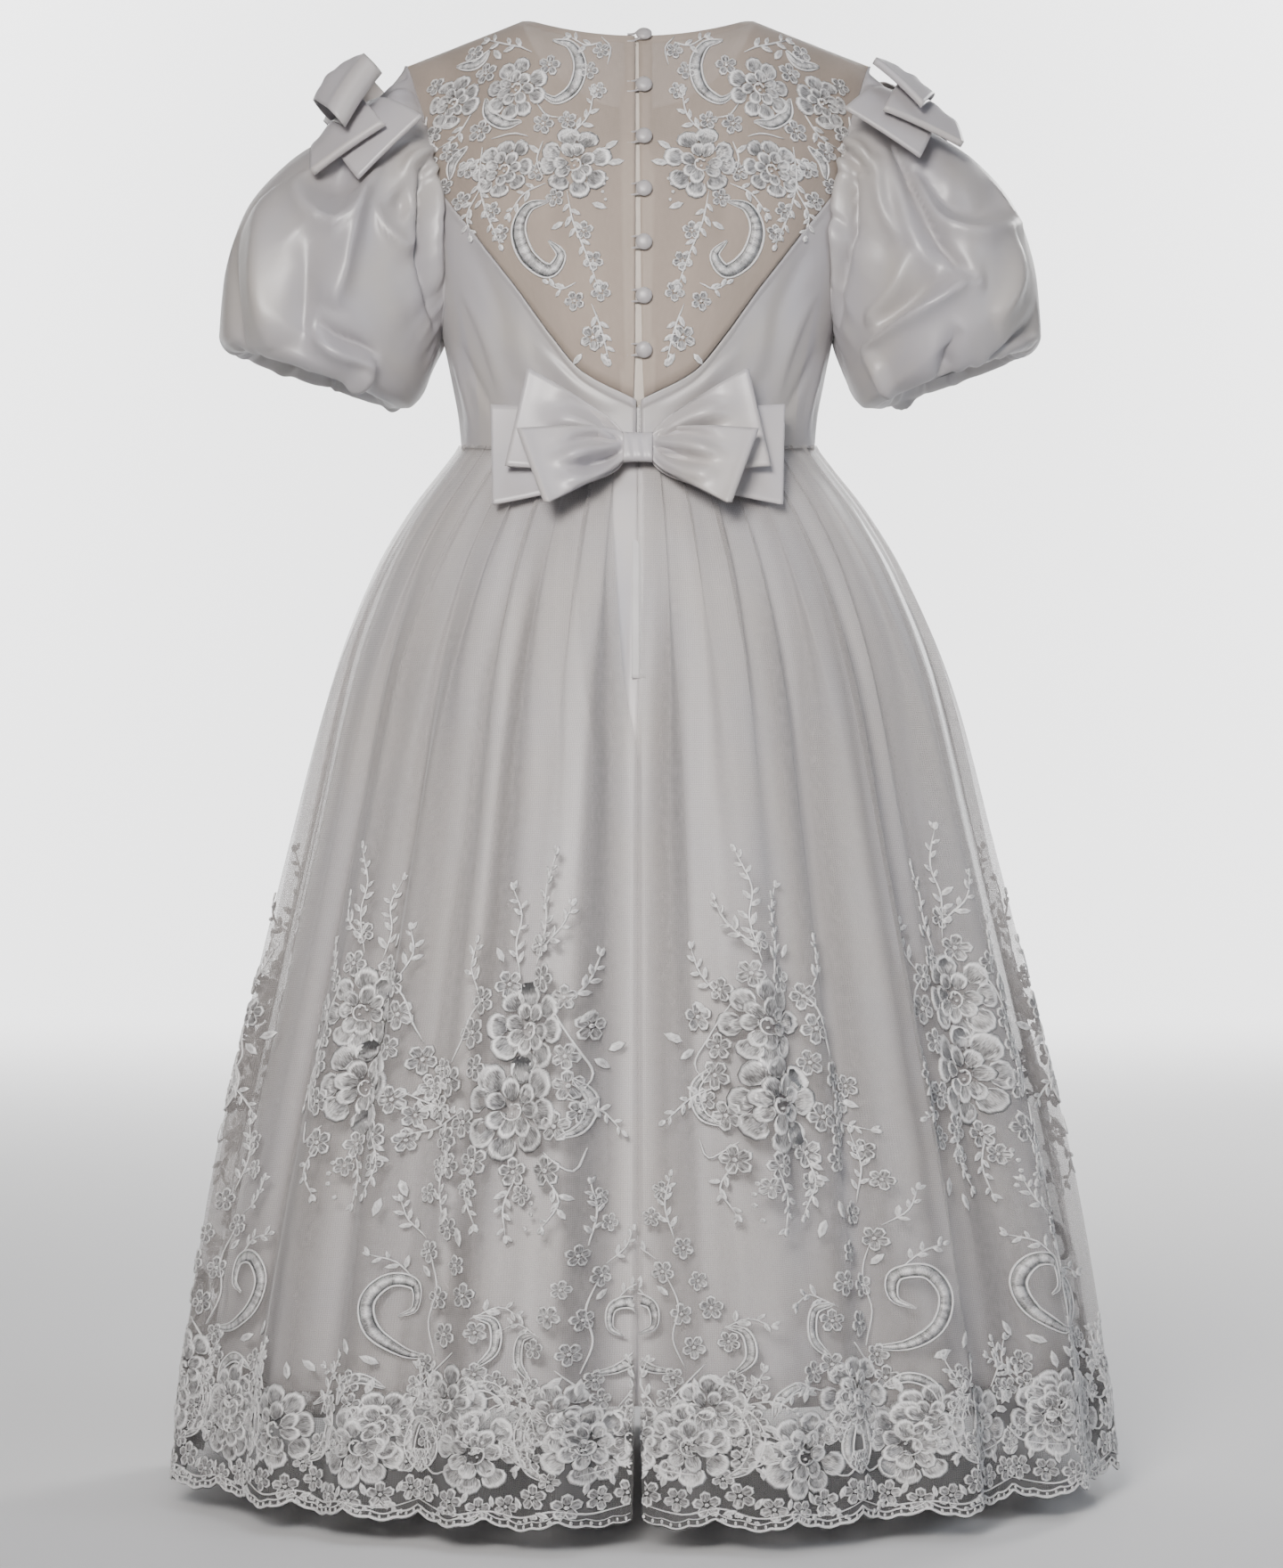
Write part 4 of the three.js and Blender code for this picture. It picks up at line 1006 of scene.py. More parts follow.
lowerSpray = {
    "roses": [(-20, 76, 50), (26, 58, 44)],
    "blossoms": [(-36, 96, 16), (6, 84, 16), (-6, 52, 16), (8, 36, 15), (44, 70, 15), (-36, 60, 14),
                 (8, 222, 14), (15, 204, 14), (-6, 184, 16), (8, 168, 16), (-16, 162, 14), (-24, 144, 17),
                 (-4, 140, 16), (-34, 122, 15), (-12, 118, 17), (46, 84, 16), (-48, 92, 15), (-44, 54, 16),
                 (52, 44, 15), (2, 98, 15)],
    "sprigs": [[(0, 190), (6, 212), (2, 232)], [(18, 150), (30, 160), (44, 164)],
               [(-30, 130), (-46, 138), (-58, 134)], [(44, 70), (58, 82), (74, 88)],
               [(-40, 80), (-58, 84), (-72, 76)], [(12, 176), (26, 186), (32, 198)],
               [(-46, 60), (-64, 52), (-78, 56)]],
    "scrolls": [(9, [(0, 102), (18, 104), (36, 116), (42, 134), (32, 148), (16, 146), (14, 132), (24, 126)]),
                (6, [(-36, 100), (-46, 112), (-44, 128), (-32, 132)])],
    "stems": [[(6, 166), (-2, 146), (2, 124), (-6, 104)], [(-20, 108), (-8, 96), (6, 82)]],
    "leaves": [(30, 96, 13, 20), (50, 100, 12, 60), (-50, 68, 12, 200), (4, 152, 11, 40), (60, 54, 12, 10)],
}
borderRepeat = {
    "roses": [(-36, 50, 52), (28, 45, 54)],
    "blossoms": [(-60, 20, 17), (-43, 17, 16), (-26, 14, 17), (-8, 20, 17), (9, 13, 16), (25, 11, 15),
                 (42, 15, 17), (60, 20, 17), (64, 38, 15), (0, 66, 16), (-62, 70, 15), (58, 74, 16),
                 (-6, 42, 16), (-17, 30, 13), (-66, 38, 14), (52, 56, 13)],
    "sprigs": [[(-8, 60), (-2, 80), (6, 96)], [(52, 60), (62, 78), (60, 94)],
               [(-54, 72), (-64, 86), (-60, 100)], [(-12, 36), (0, 38), (8, 44)]],
    "scrolls": [(7, [(-16, 30), (-4, 38), (2, 56), (-4, 70), (-14, 66)]),
                (7, [(66, 30), (74, 44), (70, 60), (60, 62)]),
                (6, [(40, 80), (26, 86), (14, 80), (10, 68)])],
    "stems": [[(-66, 14), (-40, 8), (-20, 12), (0, 7), (20, 10), (44, 7), (67, 14)],
              [(-66, 46), (-58, 38), (-46, 34), (-30, 32)], [(44, 34), (56, 30), (66, 40)]],
    "leaves": [(-62, 60, 12, 120), (-14, 86, 12, 140), (50, 70, 11, 30), (4, 30, 9, 90), (-30, 80, 12, 100),
               (30, 76, 12, 70), (-52, 24, 10, 70), (-35, 20, 9, 100), (-1, 12, 9, 60), (17, 12, 8, 80),
               (34, 14, 9, 110), (51, 16, 9, 70), (-66, 28, 9, 40), (-18, 8, 9, 20), (52, 8, 9, 160)],
    "berries": [(3.4, 7, [(-20, 4), (-10, 8), (0, 4)]), (3.4, 7, [(30, 5), (42, 8), (54, 5)])],
}
# Each spray's turn, its middle's fall, size, whether it is turned over, and its tilt
sprayPlaces = {
    "upper": [(-78, 392, 0.98, True, -3), (-41, 384, 0.97, False, 4), (-16, 392, 1.02, True, 0),
              (17.6, 388, 1, False, -2), (54, 380, 1.0, True, 3), (88, 392, 0.98, False, 0),
              (122, 386, 1, True, 2), (158, 390, 1, False, -3), (-166, 386, 1, True, 2),
              (-120, 392, 1, False, 0)],
    "lower": [(-64, 679, 1, False, 2), (-26.4, 679, 0.98, True, -2), (-5, 678, 0.9, False, 2),
              (4.5, 678, 0.92, True, 0), (30, 679, 1.02, False, 0), (63, 679, 1, True, -2),
              (98, 679, 1, False, 2), (132, 679, 0.98, True, 0), (166, 679, 1, False, -2),
              (-162, 679, 1, True, 2), (-130, 679, 1, False, 0), (-97, 679, 0.98, True, 0)],
}
borderCount, borderFall = 14, 679
sprayPlaces["border"] = [
    (angleBetween((index + 0.5) * 360 / borderCount, 0), borderFall, 1, index % 3 == 1, 0)
    for index in range(borderCount)]
spraySizes = {"upper": 1.12, "lower": 1, "border": 1}
skirtScale = 5.1  # a degree round the skirt is drawn as this many millimetres


# Stitches stay on the net, above its hem and below the seam at the waist
def onSkirt(across, up):
    turn = across / skirtScale
    fall = np.minimum(-up, hemFall(turn) - 0.4)
    return surfaceFrame(overlayPoint, turn, np.maximum(fall, 2), 0.15)


# Which stitches lie on one back panel: its side of the open slit
def besideSlit(side):
    def allowed(across, up):
        fall = np.clip(-up, 0, skirtFall)
        slit = slitAt(fall)["left" if side < 0 else "right"] + 0.4
        return side * across / skirtScale > edgeTurn(slit, skirtAt(fall)["halfWidth"])
    return allowed


# The scalloped edge: two cords that follow the lobes, each its height above the net's edge and
# its width, with ladder stitches between
hemTrim = {"step": 0.5, "cords": ((1.3, 2.6), (5.2, 1.4)), "cordHeight": 1.1,
           "rungAbove": 3.2, "rungLength": 3.0, "rungWidth": 1.6, "rungHeight": 0.9, "rungTone": 0.9}


def hemEdge(firstTurn, lastTurn):
    drawing, step = [], hemTrim["step"]
    turn = np.arange(firstTurn, lastTurn + step / 2, step)
    for above, width in hemTrim["cords"]:
        addCord(drawing, turn * skirtScale + 1j * (above - hemFall(turn)), width, hemTrim["cordHeight"])
    upright = math.pi / 2
    for at in turn[1:-1:2]:
        rung = at * skirtScale + 1j * (hemTrim["rungAbove"] - hemFall(at))
        outline = roundOutline(rung, hemTrim["rungLength"], hemTrim["rungWidth"], upright, 6)
        addPatch(drawing, outline, hemTrim["rungHeight"], upright, hemTrim["rungTone"])
    return drawing


drawings = {name: [draw(parts), draw(parts)] for name, parts in
            (("upper", upperSpray), ("lower", lowerSpray), ("border", borderRepeat))}
for (side, word, front), (low, high) in zip(skirtPanels, ((-90, 0), (0, 90), (90, 270))):
    pieces = []
    for name, places in sprayPlaces.items():
        for index, (turn, fall, scale, mirror, tilt) in enumerate(places):
            turn = turn % 360 if front else turn
            if low < turn <= high:
                place = (turn * skirtScale, -fall, scale * spraySizes[name], mirror, tilt)
                pieces.append((drawings[name][index % 2], place))
    pieces.append((hemEdge(low + 0.2, high - 0.2), (0, 0, 1, False, 0)))
    embroider("embroidery" + word, pieces, onSkirt, None if front else besideSlit(side))
for side, word, front in skirtPanels:
    points, marks = overlayPanel(side, front)
    makeCloth("overlay" + word, points, 0, tulle, "tulle", marks=marks)
print("overlay and its embroidery made")

# The yoke's lace, drawn for the right half: x from the centre, y the height below the shoulders
yokeLace = {
    "roses": [(41, -107, 47), (88, -107, 41), (80, -54, 41), (122, -48, 36)],
    "blossoms": [(24, -30, 12), (32, -44, 13), (26, -58, 12), (58, -40, 15), (100, -36, 15), (104, -76, 16),
                 (62, -80, 15), (66, -112, 14), (35, -152, 13), (29, -172, 14), (24, -192, 14),
                 (41, -198, 14), (29, -222, 18), (112, -100, 15), (124, -84, 15), (136, -66, 14),
                 (108, -18, 13), (134, -30, 13), (96, -134, 13), (90, -150, 12), (116, -122, 14),
                 (54, -130, 13), (128, -108, 13), (138, -86, 12), (46, -78, 13)],
    "sprigs": [[(52, -90), (40, -84), (32, -74), (29, -60)],
               [(46, -126), (42, -146), (34, -166), (26, -188)], [(30, -200), (24, -216), (19, -236)],
               [(102, -88), (104, -110), (100, -132), (90, -158)], [(24, -24), (34, -26), (44, -20)],
               [(60, -120), (74, -126), (84, -138)], [(132, -60), (140, -78), (138, -98)],
               [(70, -30), (84, -22), (98, -12)], [(110, -62), (120, -74), (132, -78)],
               [(40, -186), (50, -190), (58, -186)], [(104, -118), (112, -132), (110, -148)]],
    "scrolls": [(8, [(56, -22), (44, -26), (38, -40), (42, -56), (54, -64), (64, -58)]),
                (10, [(58, -132), (72, -136), (78, -150), (72, -168), (58, -178), (50, -168), (58, -158)]),
                (7, [(100, -54), (98, -66), (88, -76), (76, -78)]),
                (7, [(120, -22), (106, -26), (98, -20)]), (6, [(112, -84), (122, -92), (124, -104)])],
    "stems": [[(20, -40), (18, -28), (24, -20)], [(62, -92), (66, -104), (62, -116)],
              [(96, -84), (84, -84), (72, -88)], [(140, -50), (142, -66), (136, -76)],
              [(66, -66), (60, -74), (52, -76)]],
    "leaves": [(20, -108, 12, 170), (22, -98, 11, 150), (64, -100, 10, 40), (108, -96, 12, -20),
               (30, -134, 11, 200), (48, -146, 10, -30), (24, -232, 11, -120), (36, -232, 10, -50),
               (120, -66, 12, 20), (90, -30, 11, 60)],
    "berries": [(2.4, 4, [(20, -118), (23, -125), (21, -132)])],
}
frontLace = {
    "roses": [(36, -90, 38), (82, -86, 38), (84, -44, 34), (121, -66, 32)],
    "blossoms": [(14, -76, 13), (13, -100, 15), (58, -68, 15), (60, -106, 13), (62, -52, 12),
                 (104, -104, 14), (106, -38, 14), (106, -16, 12), (131, -38, 13), (138, -88, 13),
                 (126, -96, 14), (100, -64, 13), (46, -62, 12), (30, -64, 12), (22, -110, 12),
                 (76, -108, 12)],
    "sprigs": [[(0, -112), (8, -98), (6, -84), (10, -66)], [(50, -80), (46, -70), (52, -58)],
               [(96, -84), (108, -88), (118, -98)], [(90, -28), (96, -16), (104, -8)],
               [(108, -54), (118, -44), (124, -30)], [(56, -96), (64, -104), (70, -114)],
               [(130, -74), (138, -70), (142, -58)]],
    "scrolls": [(7, [(64, -78), (60, -88), (64, -98), (58, -104)]),
                (7, [(100, -74), (102, -62), (96, -54), (104, -46)])],
    "stems": [[(18, -84), (20, -96), (14, -108)], [(64, -60), (72, -62), (72, -70)],
              [(118, -82), (112, -92), (100, -96)]],
    "leaves": [(22, -78, 11, 100), (52, -96, 10, -60), (66, -46, 10, 150), (100, -30, 11, 30),
               (134, -52, 11, 60)],
    "berries": [(2.8, 5, [(26, -70), (36, -66), (46, -70)]),
                (2.8, 5, [(92, -102), (100, -112), (108, -110)])],
}


# The lace ends a little short of the sides, where the form turns edge on
def yokeSurface(front):
    def pointAt(x, drop):
        sine = np.clip(x / torsoAt(drop)["halfWidth"], -0.988, 0.988)
        turn = np.degrees(np.arcsin(sine))
        return torsoPoint(180 + turn if front else turn, drop)

    def place(across, up):
        drop = np.maximum(-up, 8)
        reach = 0.972 * torsoAt(drop)["halfWidth"]
        across = np.clip(across, -reach, reach)
        place, normal = surfaceFrame(pointAt, across, drop, 0.5)
        return place + normal * yokeRelief(np.abs(across), drop)[..., None], normal
    return place


half = draw(yokeLace)
for word, side in (("Left", -1), ("Right", 1)):
    embroider("laceBack" + word, [(half, (0, 0, 1, side < 0, 0))], yokeSurface(False))
frontHalf = draw(frontLace)
bothHalves = [(frontHalf, (0, 0, 1, mirror, 0)) for mirror in (False, True)]
embroider("laceFront", bothHalves, yokeSurface(True))
print("lace made")

# Rings of the puffed sleeve from the armhole to the band, as the solids have them. Tuck is how
# far it starts inside the armhole's seam, and scoop how far its first rings bend to the arm
sleeve = {
    "wall": 0.9, "columns": 192, "rows": 86, "scoop": 14, "standOut": 1.75, "tuck": 0.9, "lift": 0.25,
    "foldStrength": 1.75, "degreeLength": 1.45, "ringLength": 26, "lastRing": 8,
    "gathers": {"count": 90, "depth": 2.8, "reachDown": 3.0},
    "lobes": {"count": 46, "depth": 3.0, "reachDown": 2.6},
    "left": {"side": -1, "reach": 1, "gatherSeed": 5, "lobeSeed": 21},
    "right": {"side": 1, "reach": 0.93, "gatherSeed": 8, "lobeSeed": 34},
}
sleeveBand = {"wall": 1.0, "height": 12, "below": 0.35, "lean": 0.33, "clear": 2.0, "belly": 0.5, "rows": 12,
              "columns": 120}
ringAt = tableReader(
    "ring outerX outerZ innerX innerZ halfDepth",
    (0, 157, -33, 132, -213, 50), (1, 170, -46, 136, -226, 57), (2, 194, -69, 140, -238, 65),
    (3, 234, -95, 144, -248, 77), (4, 264, -130, 149, -255, 85), (5, 278, -176, 155, -259, 85),
    (6, 281, -212, 162, -259, 74), (7, 270, -223, 169, -254, 62), (8, 256, -217, 174, -243, 47))
# Folds of each puff as paths of (angle, ring): angle 0 is the shoulder, -90 the back of the arm
# and -180 under it. The front of each sleeve folds as the back of the other one does
sleeveFolds = {
    "left": rowsOf(
        "path width depth crisp lean widen sewn",
        ([(-36, 3.0), (-48, 3.15), (-62, 3.15), (-73, 2.9), (-73, 2.4), (-66, 2.0)], 5, 6, 1.3),
        ([(-40, 2.4), (-56, 2.5), (-66, 2.3)], 11, -7),
        ([(-62, 1.6), (-70, 2.2), (-79, 2.6), (-90, 3.2), (-98, 4.0)], 6, 8, 1.2, -0.4, 0.8),
        ([(-64, 3.4), (-76, 3.8), (-86, 4.9), (-88, 5.8)], 11, -6, 1.6, 0, 0.4),
        ([(-73, 2.0), (-85, 1.95), (-99, 1.5), (-97, 1.0)], 4, 4.5, 1.3),
        ([(-76, 1.5), (-88, 1.3)], 7, -5),
        ([(-74, 0.6), (-90, 0.85), (-106, 1.2), (-128, 1.1), (-152, 0.7)], 4.5, -7, 1.2, 0.3, 0, True),
        ([(-84, 0.2), (-106, 0.55), (-132, 0.6)], 7, 5, 1.6, 0, 0, True),
        ([(-92, 4.6), (-108, 4.45), (-128, 3.9)], 4, -6, 1.2),
        ([(-94, 5.1), (-112, 4.95), (-130, 4.4)], 6, 4.5),
        ([(-125, 4.3), (-129, 5.4), (-123, 6.6)], 7, 4.5),
        ([(-28, 3.6), (-44, 4.0), (-56, 4.7), (-72, 5.9)], 12, 5),
        ([(-16, 4.4), (-34, 5.2), (-50, 6.4)], 8, -4),
        ([(-66, 0.2), (-70, 1.2)], 4, 5, 1.6, 0, 0, True),
        ([(-56, 0.3), (-60, 1.6)], 4, -4, 1.6, 0, 0, True),
        ([(-76, 0.2), (-79, 0.9)], 3.5, 4.5, 1.6, 0, 0, True)),
    "right": rowsOf(
        "path width depth crisp lean widen sewn",
        ([(-42, 1.3), (-52, 1.8), (-63, 2.2), (-75, 2.9), (-77, 3.6), (-72, 4.3)], 5, -8, 1.2, 0.35),
        ([(-54, 1.3), (-68, 2.0), (-84, 2.8), (-86, 3.6)], 9, 5),
        ([(-68, 4.5), (-76, 4.2), (-92, 4.0), (-114, 3.5), (-141, 2.6)], 5, 7, 1.2),
        ([(-82, 3.5), (-100, 3.25), (-124, 2.7)], 9, -7, 1.4),
        ([(-88, 2.6), (-106, 2.7), (-128, 2.2)], 6, 4),
        ([(-54, 2.1), (-69, 2.8), (-64, 3.5), (-48, 3.9), (-18, 4.15)], 5, 5.5, 1.3),
        ([(-50, 2.2), (-57, 2.85), (-46, 3.45), (-22, 3.75)], 9, -7),
        ([(-74, 0.6), (-98, 0.9), (-124, 0.7), (-150, 0.8)], 4.5, -7, 1.2, -0.3, 0, True),
        ([(-82, 0.15), (-104, 0.3), (-128, 0.4)], 6, 5, 1.6, 0, 0, True),
        ([(-72, 0.2), (-77, 0.9)], 4.5, 6.5, 1.6, 0, 0, True),
        ([(-63, 0.5), (-69, 1.3)], 4.5, 6, 1.6, 0, 0, True),
        ([(-67, 0.1), (-72, 1.2)], 3, -5, 1.6, 0, 0, True),
        ([(-61, 1.2), (-79, 1.6), (-88, 2.4)], 5, 3.5),
        ([(-139, 2.6), (-140, 3.9), (-146, 6.0)], 6, 5),
        ([(-89, 4.9), (-100, 5.4), (-106, 6.8)], 8, -6),
        ([(-33, 4.4), (-48, 4.8), (-68, 5.3)], 8, 5),
        ([(-20, 5.6), (-50, 6.0), (-72, 6.6)], 6, -5)),
}


def turnedOver(folds):
    return [{**fold, "path": [(-angle, ring) for angle, ring in fold["path"]], "lean": -fold.get("lean", 0)}
            for fold in folds]


# The armhole as a loop of points against its angle, to start the sleeve on
def armholeAt(side):
    lower, upper = lowerArmholeAt(np.linspace(1, 0, 80)), upperArmholeAt(np.linspace(0, 1, 90)[1:])
    turn, drop = (np.concatenate([lower[name], upper[name]]) for name in ("turn", "drop"))
    front = onForm(turn[::-1], drop[::-1], side, True)[1:-1]
    loop = np.concatenate([onForm(turn, drop, side, False), front])
    start = ringAt(0)
    middleZ = (start["outerZ"] + start["innerZ"]) / 2
    halfHeight = (start["outerZ"] - start["innerZ"]) / 2
    angle = np.degrees(np.arctan2(loop[:, 1] / start["halfDepth"], (loop[:, 2] - middleZ) / halfHeight))
    order = np.argsort(angle)
    angle, loop = angle[order], loop[order]
    return lambda where: np.stack(
        [np.interp(where, angle, loop[:, i], period=360) for i in range(3)], axis=-1)


def sleeveForm(ring, angle, side, reach):
    row = ringAt(ring)
    first = float(ringAt(0)["innerX"])
    outerX, innerX = (first + (row[name] - first) * reach for name in ("outerX", "innerX"))
    turned = np.cos(radians(angle)) / 2
    x = side * (blend(outerX, innerX, 0.5) + (outerX - innerX) * turned)
    z = blend(row["outerZ"], row["innerZ"], 0.5) + (row["outerZ"] - row["innerZ"]) * turned
    y = row["halfDepth"] * np.sin(radians(angle))
    x = x - side * sleeve["scoop"] * np.clip(1 - ring / 2, 0, 1) * np.sin(radians(angle)) ** 2
    return np.stack(np.broadcast_arrays(x, y, z), axis=-1)


# Small gathers that start at the armhole seam and die out down the puff
def gathers(angle, ring, seed, count, depth, reachDown):
    dice = random.Random(seed)
    height = np.zeros(np.broadcast(angle, ring).shape)
    for _ in range(count):
        at, width = dice.uniform(-180, 180), dice.uniform(1.8, 4.2)
        down, drift = dice.uniform(0.5, 1.2) * reachDown, dice.uniform(-9, 9)
        share = angleBetween(angle, at + drift * ring / reachDown) / (width * (1 + 0.8 * ring / reachDown))
        height += dice.uniform(-1, 1) * depth * np.exp(-share ** 2) * np.clip(1 - ring / down, 0, 1)
    return height


def sleeveGrid(word, rings, columns):
    side, reach = sleeve[word]["side"], sleeve[word]["reach"]
    angle = (np.arange(columns) * 360 / columns - 180)[None, :]
    ring = rings[:, None]
    points = sleeveForm(ring, angle, side, reach)
    upward = sleeve["lift"] * np.cos(radians(angle))
    out = unitVectors(np.stack([np.full(angle.shape, float(side)), 0 * angle, upward], axis=-1))
    stand = blend(-sleeve["tuck"], sleeve["standOut"], smoothStep(0, 0.12, ring))[..., None]
    share = (1 - smoothStep(0, 0.85, ring))[..., None]
    return blend(points, armholeAt(side)(angle) + stand * out, share), angle, ring


def puffedSleeve(word, other):
    rings = np.linspace(0, 1, sleeve["rows"]) * sleeve["lastRing"]
    points, angle, ring = sleeveGrid(word, rings, sleeve["columns"])
    folds = sleeveFolds[word] + turnedOver(sleeveFolds[other])
    height = foldHeight(folds, angle, ring, (sleeve["degreeLength"], sleeve["ringLength"]))
    height = sleeve["foldStrength"] * height
    height = height + gathers(angle, ring, sleeve[word]["gatherSeed"], **sleeve["gathers"])
    height = height * smoothStep(0, 0.5, ring) * (1 - smoothStep(7, 8, ring))
    # the puff is caught in at the band, so its lower edge swells in uneven lobes
    lobes = gathers(angle, sleeve["lastRing"] - ring, sleeve[word]["lobeSeed"], **sleeve["lobes"])
    height = height + lobes * smoothStep(5.6, 6.8, ring) * (1 - smoothStep(7.6, 8, ring))
    normals = surfaceNormals(points, True)
    centre = points.mean(axis=1, keepdims=True)
    facing = -1 if (normals * (points - centre)).sum() < 0 else 1
    return points + facing * normals * height[..., None]


def bandAround(word):
    rows, height = sleeveBand["rows"], sleeveBand["height"]
    edge = sleeveGrid(word, np.array([float(sleeve["lastRing"])]), sleeveBand["columns"])[0][0]
    inward = unitVectors(edge.mean(axis=0) - edge)
    axis = unitVectors(np.array([sleeve[word]["side"] * sleeveBand["lean"], 0, -1.0]))
    along = np.linspace(sleeveBand["below"], sleeveBand["below"] - 1, rows)[:, None, None]
    belly = sleeveBand["belly"] * np.sin(np.linspace(0, math.pi, rows))[:, None, None]
    return edge + inward * (sleeveBand["clear"] - belly) + axis * along * height


for word, other in (("left", "right"), ("right", "left")):
    name, puff, band = word.capitalize(), puffedSleeve(word, other), bandAround(word)
    makeCloth("sleeve" + name, puff, sleeve["wall"], satin, "satin", closed=True)
    makeCloth("sleeveBand" + name, band, sleeveBand["wall"], satin, "satin", closed=True)
print("sleeves made")

# Three flattened loops of satin and a knot make each bow, the same three at the waist and sleeves
bow = {
    "rows": 19, "stations": 38, "pinchWidth": 15, "pinchGap": 2, "wall": 0.8, "knotWall": 1.1,
    "knotHalfLength": 9.5, "knotHalfHeight": 9.6, "knotMiddle": -4.65, "knotHalfDepth": 7.85,
    "knotSides": 72, "knotRows": 19, "knotRoundness": 0.55, "knotWaist": 0.05, "knotCrease": 0.35,
    "crowding": 1.2, "tipTurn": 80, "tipSteps": 11, "waver": 0.12, "narrowing": 0.35, "opening": 1.5,
    "curl": 1.6,
    # a pleat is its place across the loop, from -1 to 1, its width and its depth
    "layers": rowsOf(
        "name halfLength endWidth rise slant bend stack flare pleats",
        ("Back", 95, 67, -4, 1, 8, 0, 0.42, [(-0.35, 0.12, 1.8), (0.3, 0.10, -1.6), (0.72, 0.14, 1.2)]),
        ("Middle", 79, 64, 19, -7, -4, 4.2, 0.5,
         [(-0.6, 0.12, 2.6), (-0.12, 0.11, -3.2), (0.35, 0.12, 3.6), (0.78, 0.11, -2.4)]),
        ("Front", 69, 49, -14, 9, -20, 8.5, 0.48,
         [(-0.66, 0.12, 3.0), (-0.22, 0.10, -3.8), (0.14, 0.12, 4.6), (0.55, 0.11, -3.6)])),
}
# Puffs are how far each layer's loop stands open, and the radius of the fold at its end
waistBow = {"drop": 294, "stand": 99.5, "lean": 0.35, "leanCurve": 0.004,
            "puffs": {"Back": (6, 1.6), "Middle": (10, 2.4), "Front": (15, 3.4)}}
sleeveBows = {
    "left": {"side": -1, "slope": 43, "across": 187, "out": 82, "bend": 86,
             "puffs": {"Back": (5, 2), "Middle": (8, 3), "Front": (24, 10)}},
    "right": {"side": 1, "slope": 32, "across": 185, "out": 49, "bend": 100,
              "puffs": {"Back": (4, 1.8), "Middle": (7, 2.4), "Front": (7, 2.6)}},
}
sleeveBowCloth = {"scale": 0.88, "bendShare": 0.6, "pleatShare": 0.25}


def bowLoop(layer, bendShare, puffs, pleatShare):
    opened, foldRadius = puffs[layer["name"]]
    straight = layer["halfLength"] - foldRadius
    half = np.linspace(0, 1, bow["stations"]) ** bow["crowding"] * straight
    along = np.concatenate([-half[:0:-1], half])
    tip = radians(np.linspace(-bow["tipTurn"], bow["tipTurn"], bow["tipSteps"]))
    end = straight + foldRadius * np.cos(tip)
    flat = np.full(along.shape, 0.5)
    x = np.concatenate([along, end, along[::-1], -end])[None, :]
    ply = np.concatenate([-flat, np.sin(tip) / 2, flat, -np.sin(tip) / 2])[None, :]
    up = np.linspace(-1, 1, bow["rows"])[:, None]
    flatHalf = bow["knotHalfLength"]
    spread = np.clip((np.abs(x) - flatHalf) / (straight - flatHalf), 0, 1)
    puff = smoothStep(0, 0.6, spread) - smoothStep(0.55, 1, spread)
    gap = blend(bow["pinchGap"], 2 * foldRadius, smoothStep(0, 1, spread))
    gap = gap + max(opened - foldRadius, 0) * puff * (1 - 0.35 * up ** 2)
    width = blend(bow["pinchWidth"], layer["endWidth"], spread ** layer["flare"])
    z = layer["rise"] * spread + up * width / 2
    slanted = x + np.sign(x) * layer["slant"] * up * spread ** 2
    # pleats run out of the knot and open towards the ends, a little different on each half
    wave = 0
    for at, wide, deep in layer["pleats"]:
        centre = at + bow["waver"] * np.sign(x) * np.where(ply > 0, -1, 1)
        swing = bow["narrowing"] * at * np.sin(math.pi * np.minimum(spread * 1.4, 1))
        centre = centre * (1 - bow["narrowing"] * spread) + swing
        wave = wave + deep * np.exp(-((up - centre) / (wide * (1 + bow["opening"] * spread))) ** 2)
    strength = smoothStep(0.0, 0.2, spread) * (1 - smoothStep(0.4, 0.85, spread)) + 0.3 * (1 - spread)
    wave = wave * pleatShare * strength * np.where(ply > 0, 0.5, 1) * smoothStep(0, 0.1, spread)
    curl = bow["curl"] * spread ** 3 * (up ** 2 - 0.4)
    y = (layer["bend"] * bendShare * spread ** 1.3 + ply * gap - (gap - bow["pinchGap"]) / 2
         - layer["stack"] - wave + curl * bendShare)
    return np.stack(np.broadcast_arrays(slanted, y, z), axis=-1)


def bowKnot():
    turn = np.linspace(0, 2 * math.pi, bow["knotSides"], endpoint=False)[None, :]
    along = np.linspace(-1, 1, bow["knotRows"])[:, None]
    powerY, powerZ = (np.sign(wave) * np.abs(wave) ** bow["knotRoundness"]
                      for wave in (np.cos(turn), np.sin(turn)))
    waisted = 1 - bow["knotWaist"] * (1 - along ** 2)
    # soft creases cross the side that shows
    crease = bow["knotCrease"] * np.cos(along * 9 + 1.5 * powerZ) * (powerY < 0)
    y = bow["knotMiddle"] + (bow["knotHalfDepth"] + crease) * powerY
    z = bow["knotHalfHeight"] * powerZ * waisted
    return np.stack([along * bow["knotHalfLength"] + 0 * turn, y, z], axis=-1)


def makeBow(prefix, place, puffs, scale=1.0, bendShare=1.0, pleatShare=2.3):
    parts = [(layer["name"], bowLoop(layer, bendShare, puffs, pleatShare), bow["wall"])
             for layer in bow["layers"]]
    for name, points, wall in parts + [("Knot", bowKnot(), bow["knotWall"])]:
        makeCloth(prefix + name, place(points), wall * scale, bowSatin, "satin", closed=True)


def atWaist(points):
    x, y, z = np.moveaxis(points, -1, 0)
    lean = waistBow["leanCurve"] * z ** 2 - waistBow["lean"] * z
    return np.stack([x, y - waistBow["stand"] - lean, z - waistBow["drop"]], axis=-1)


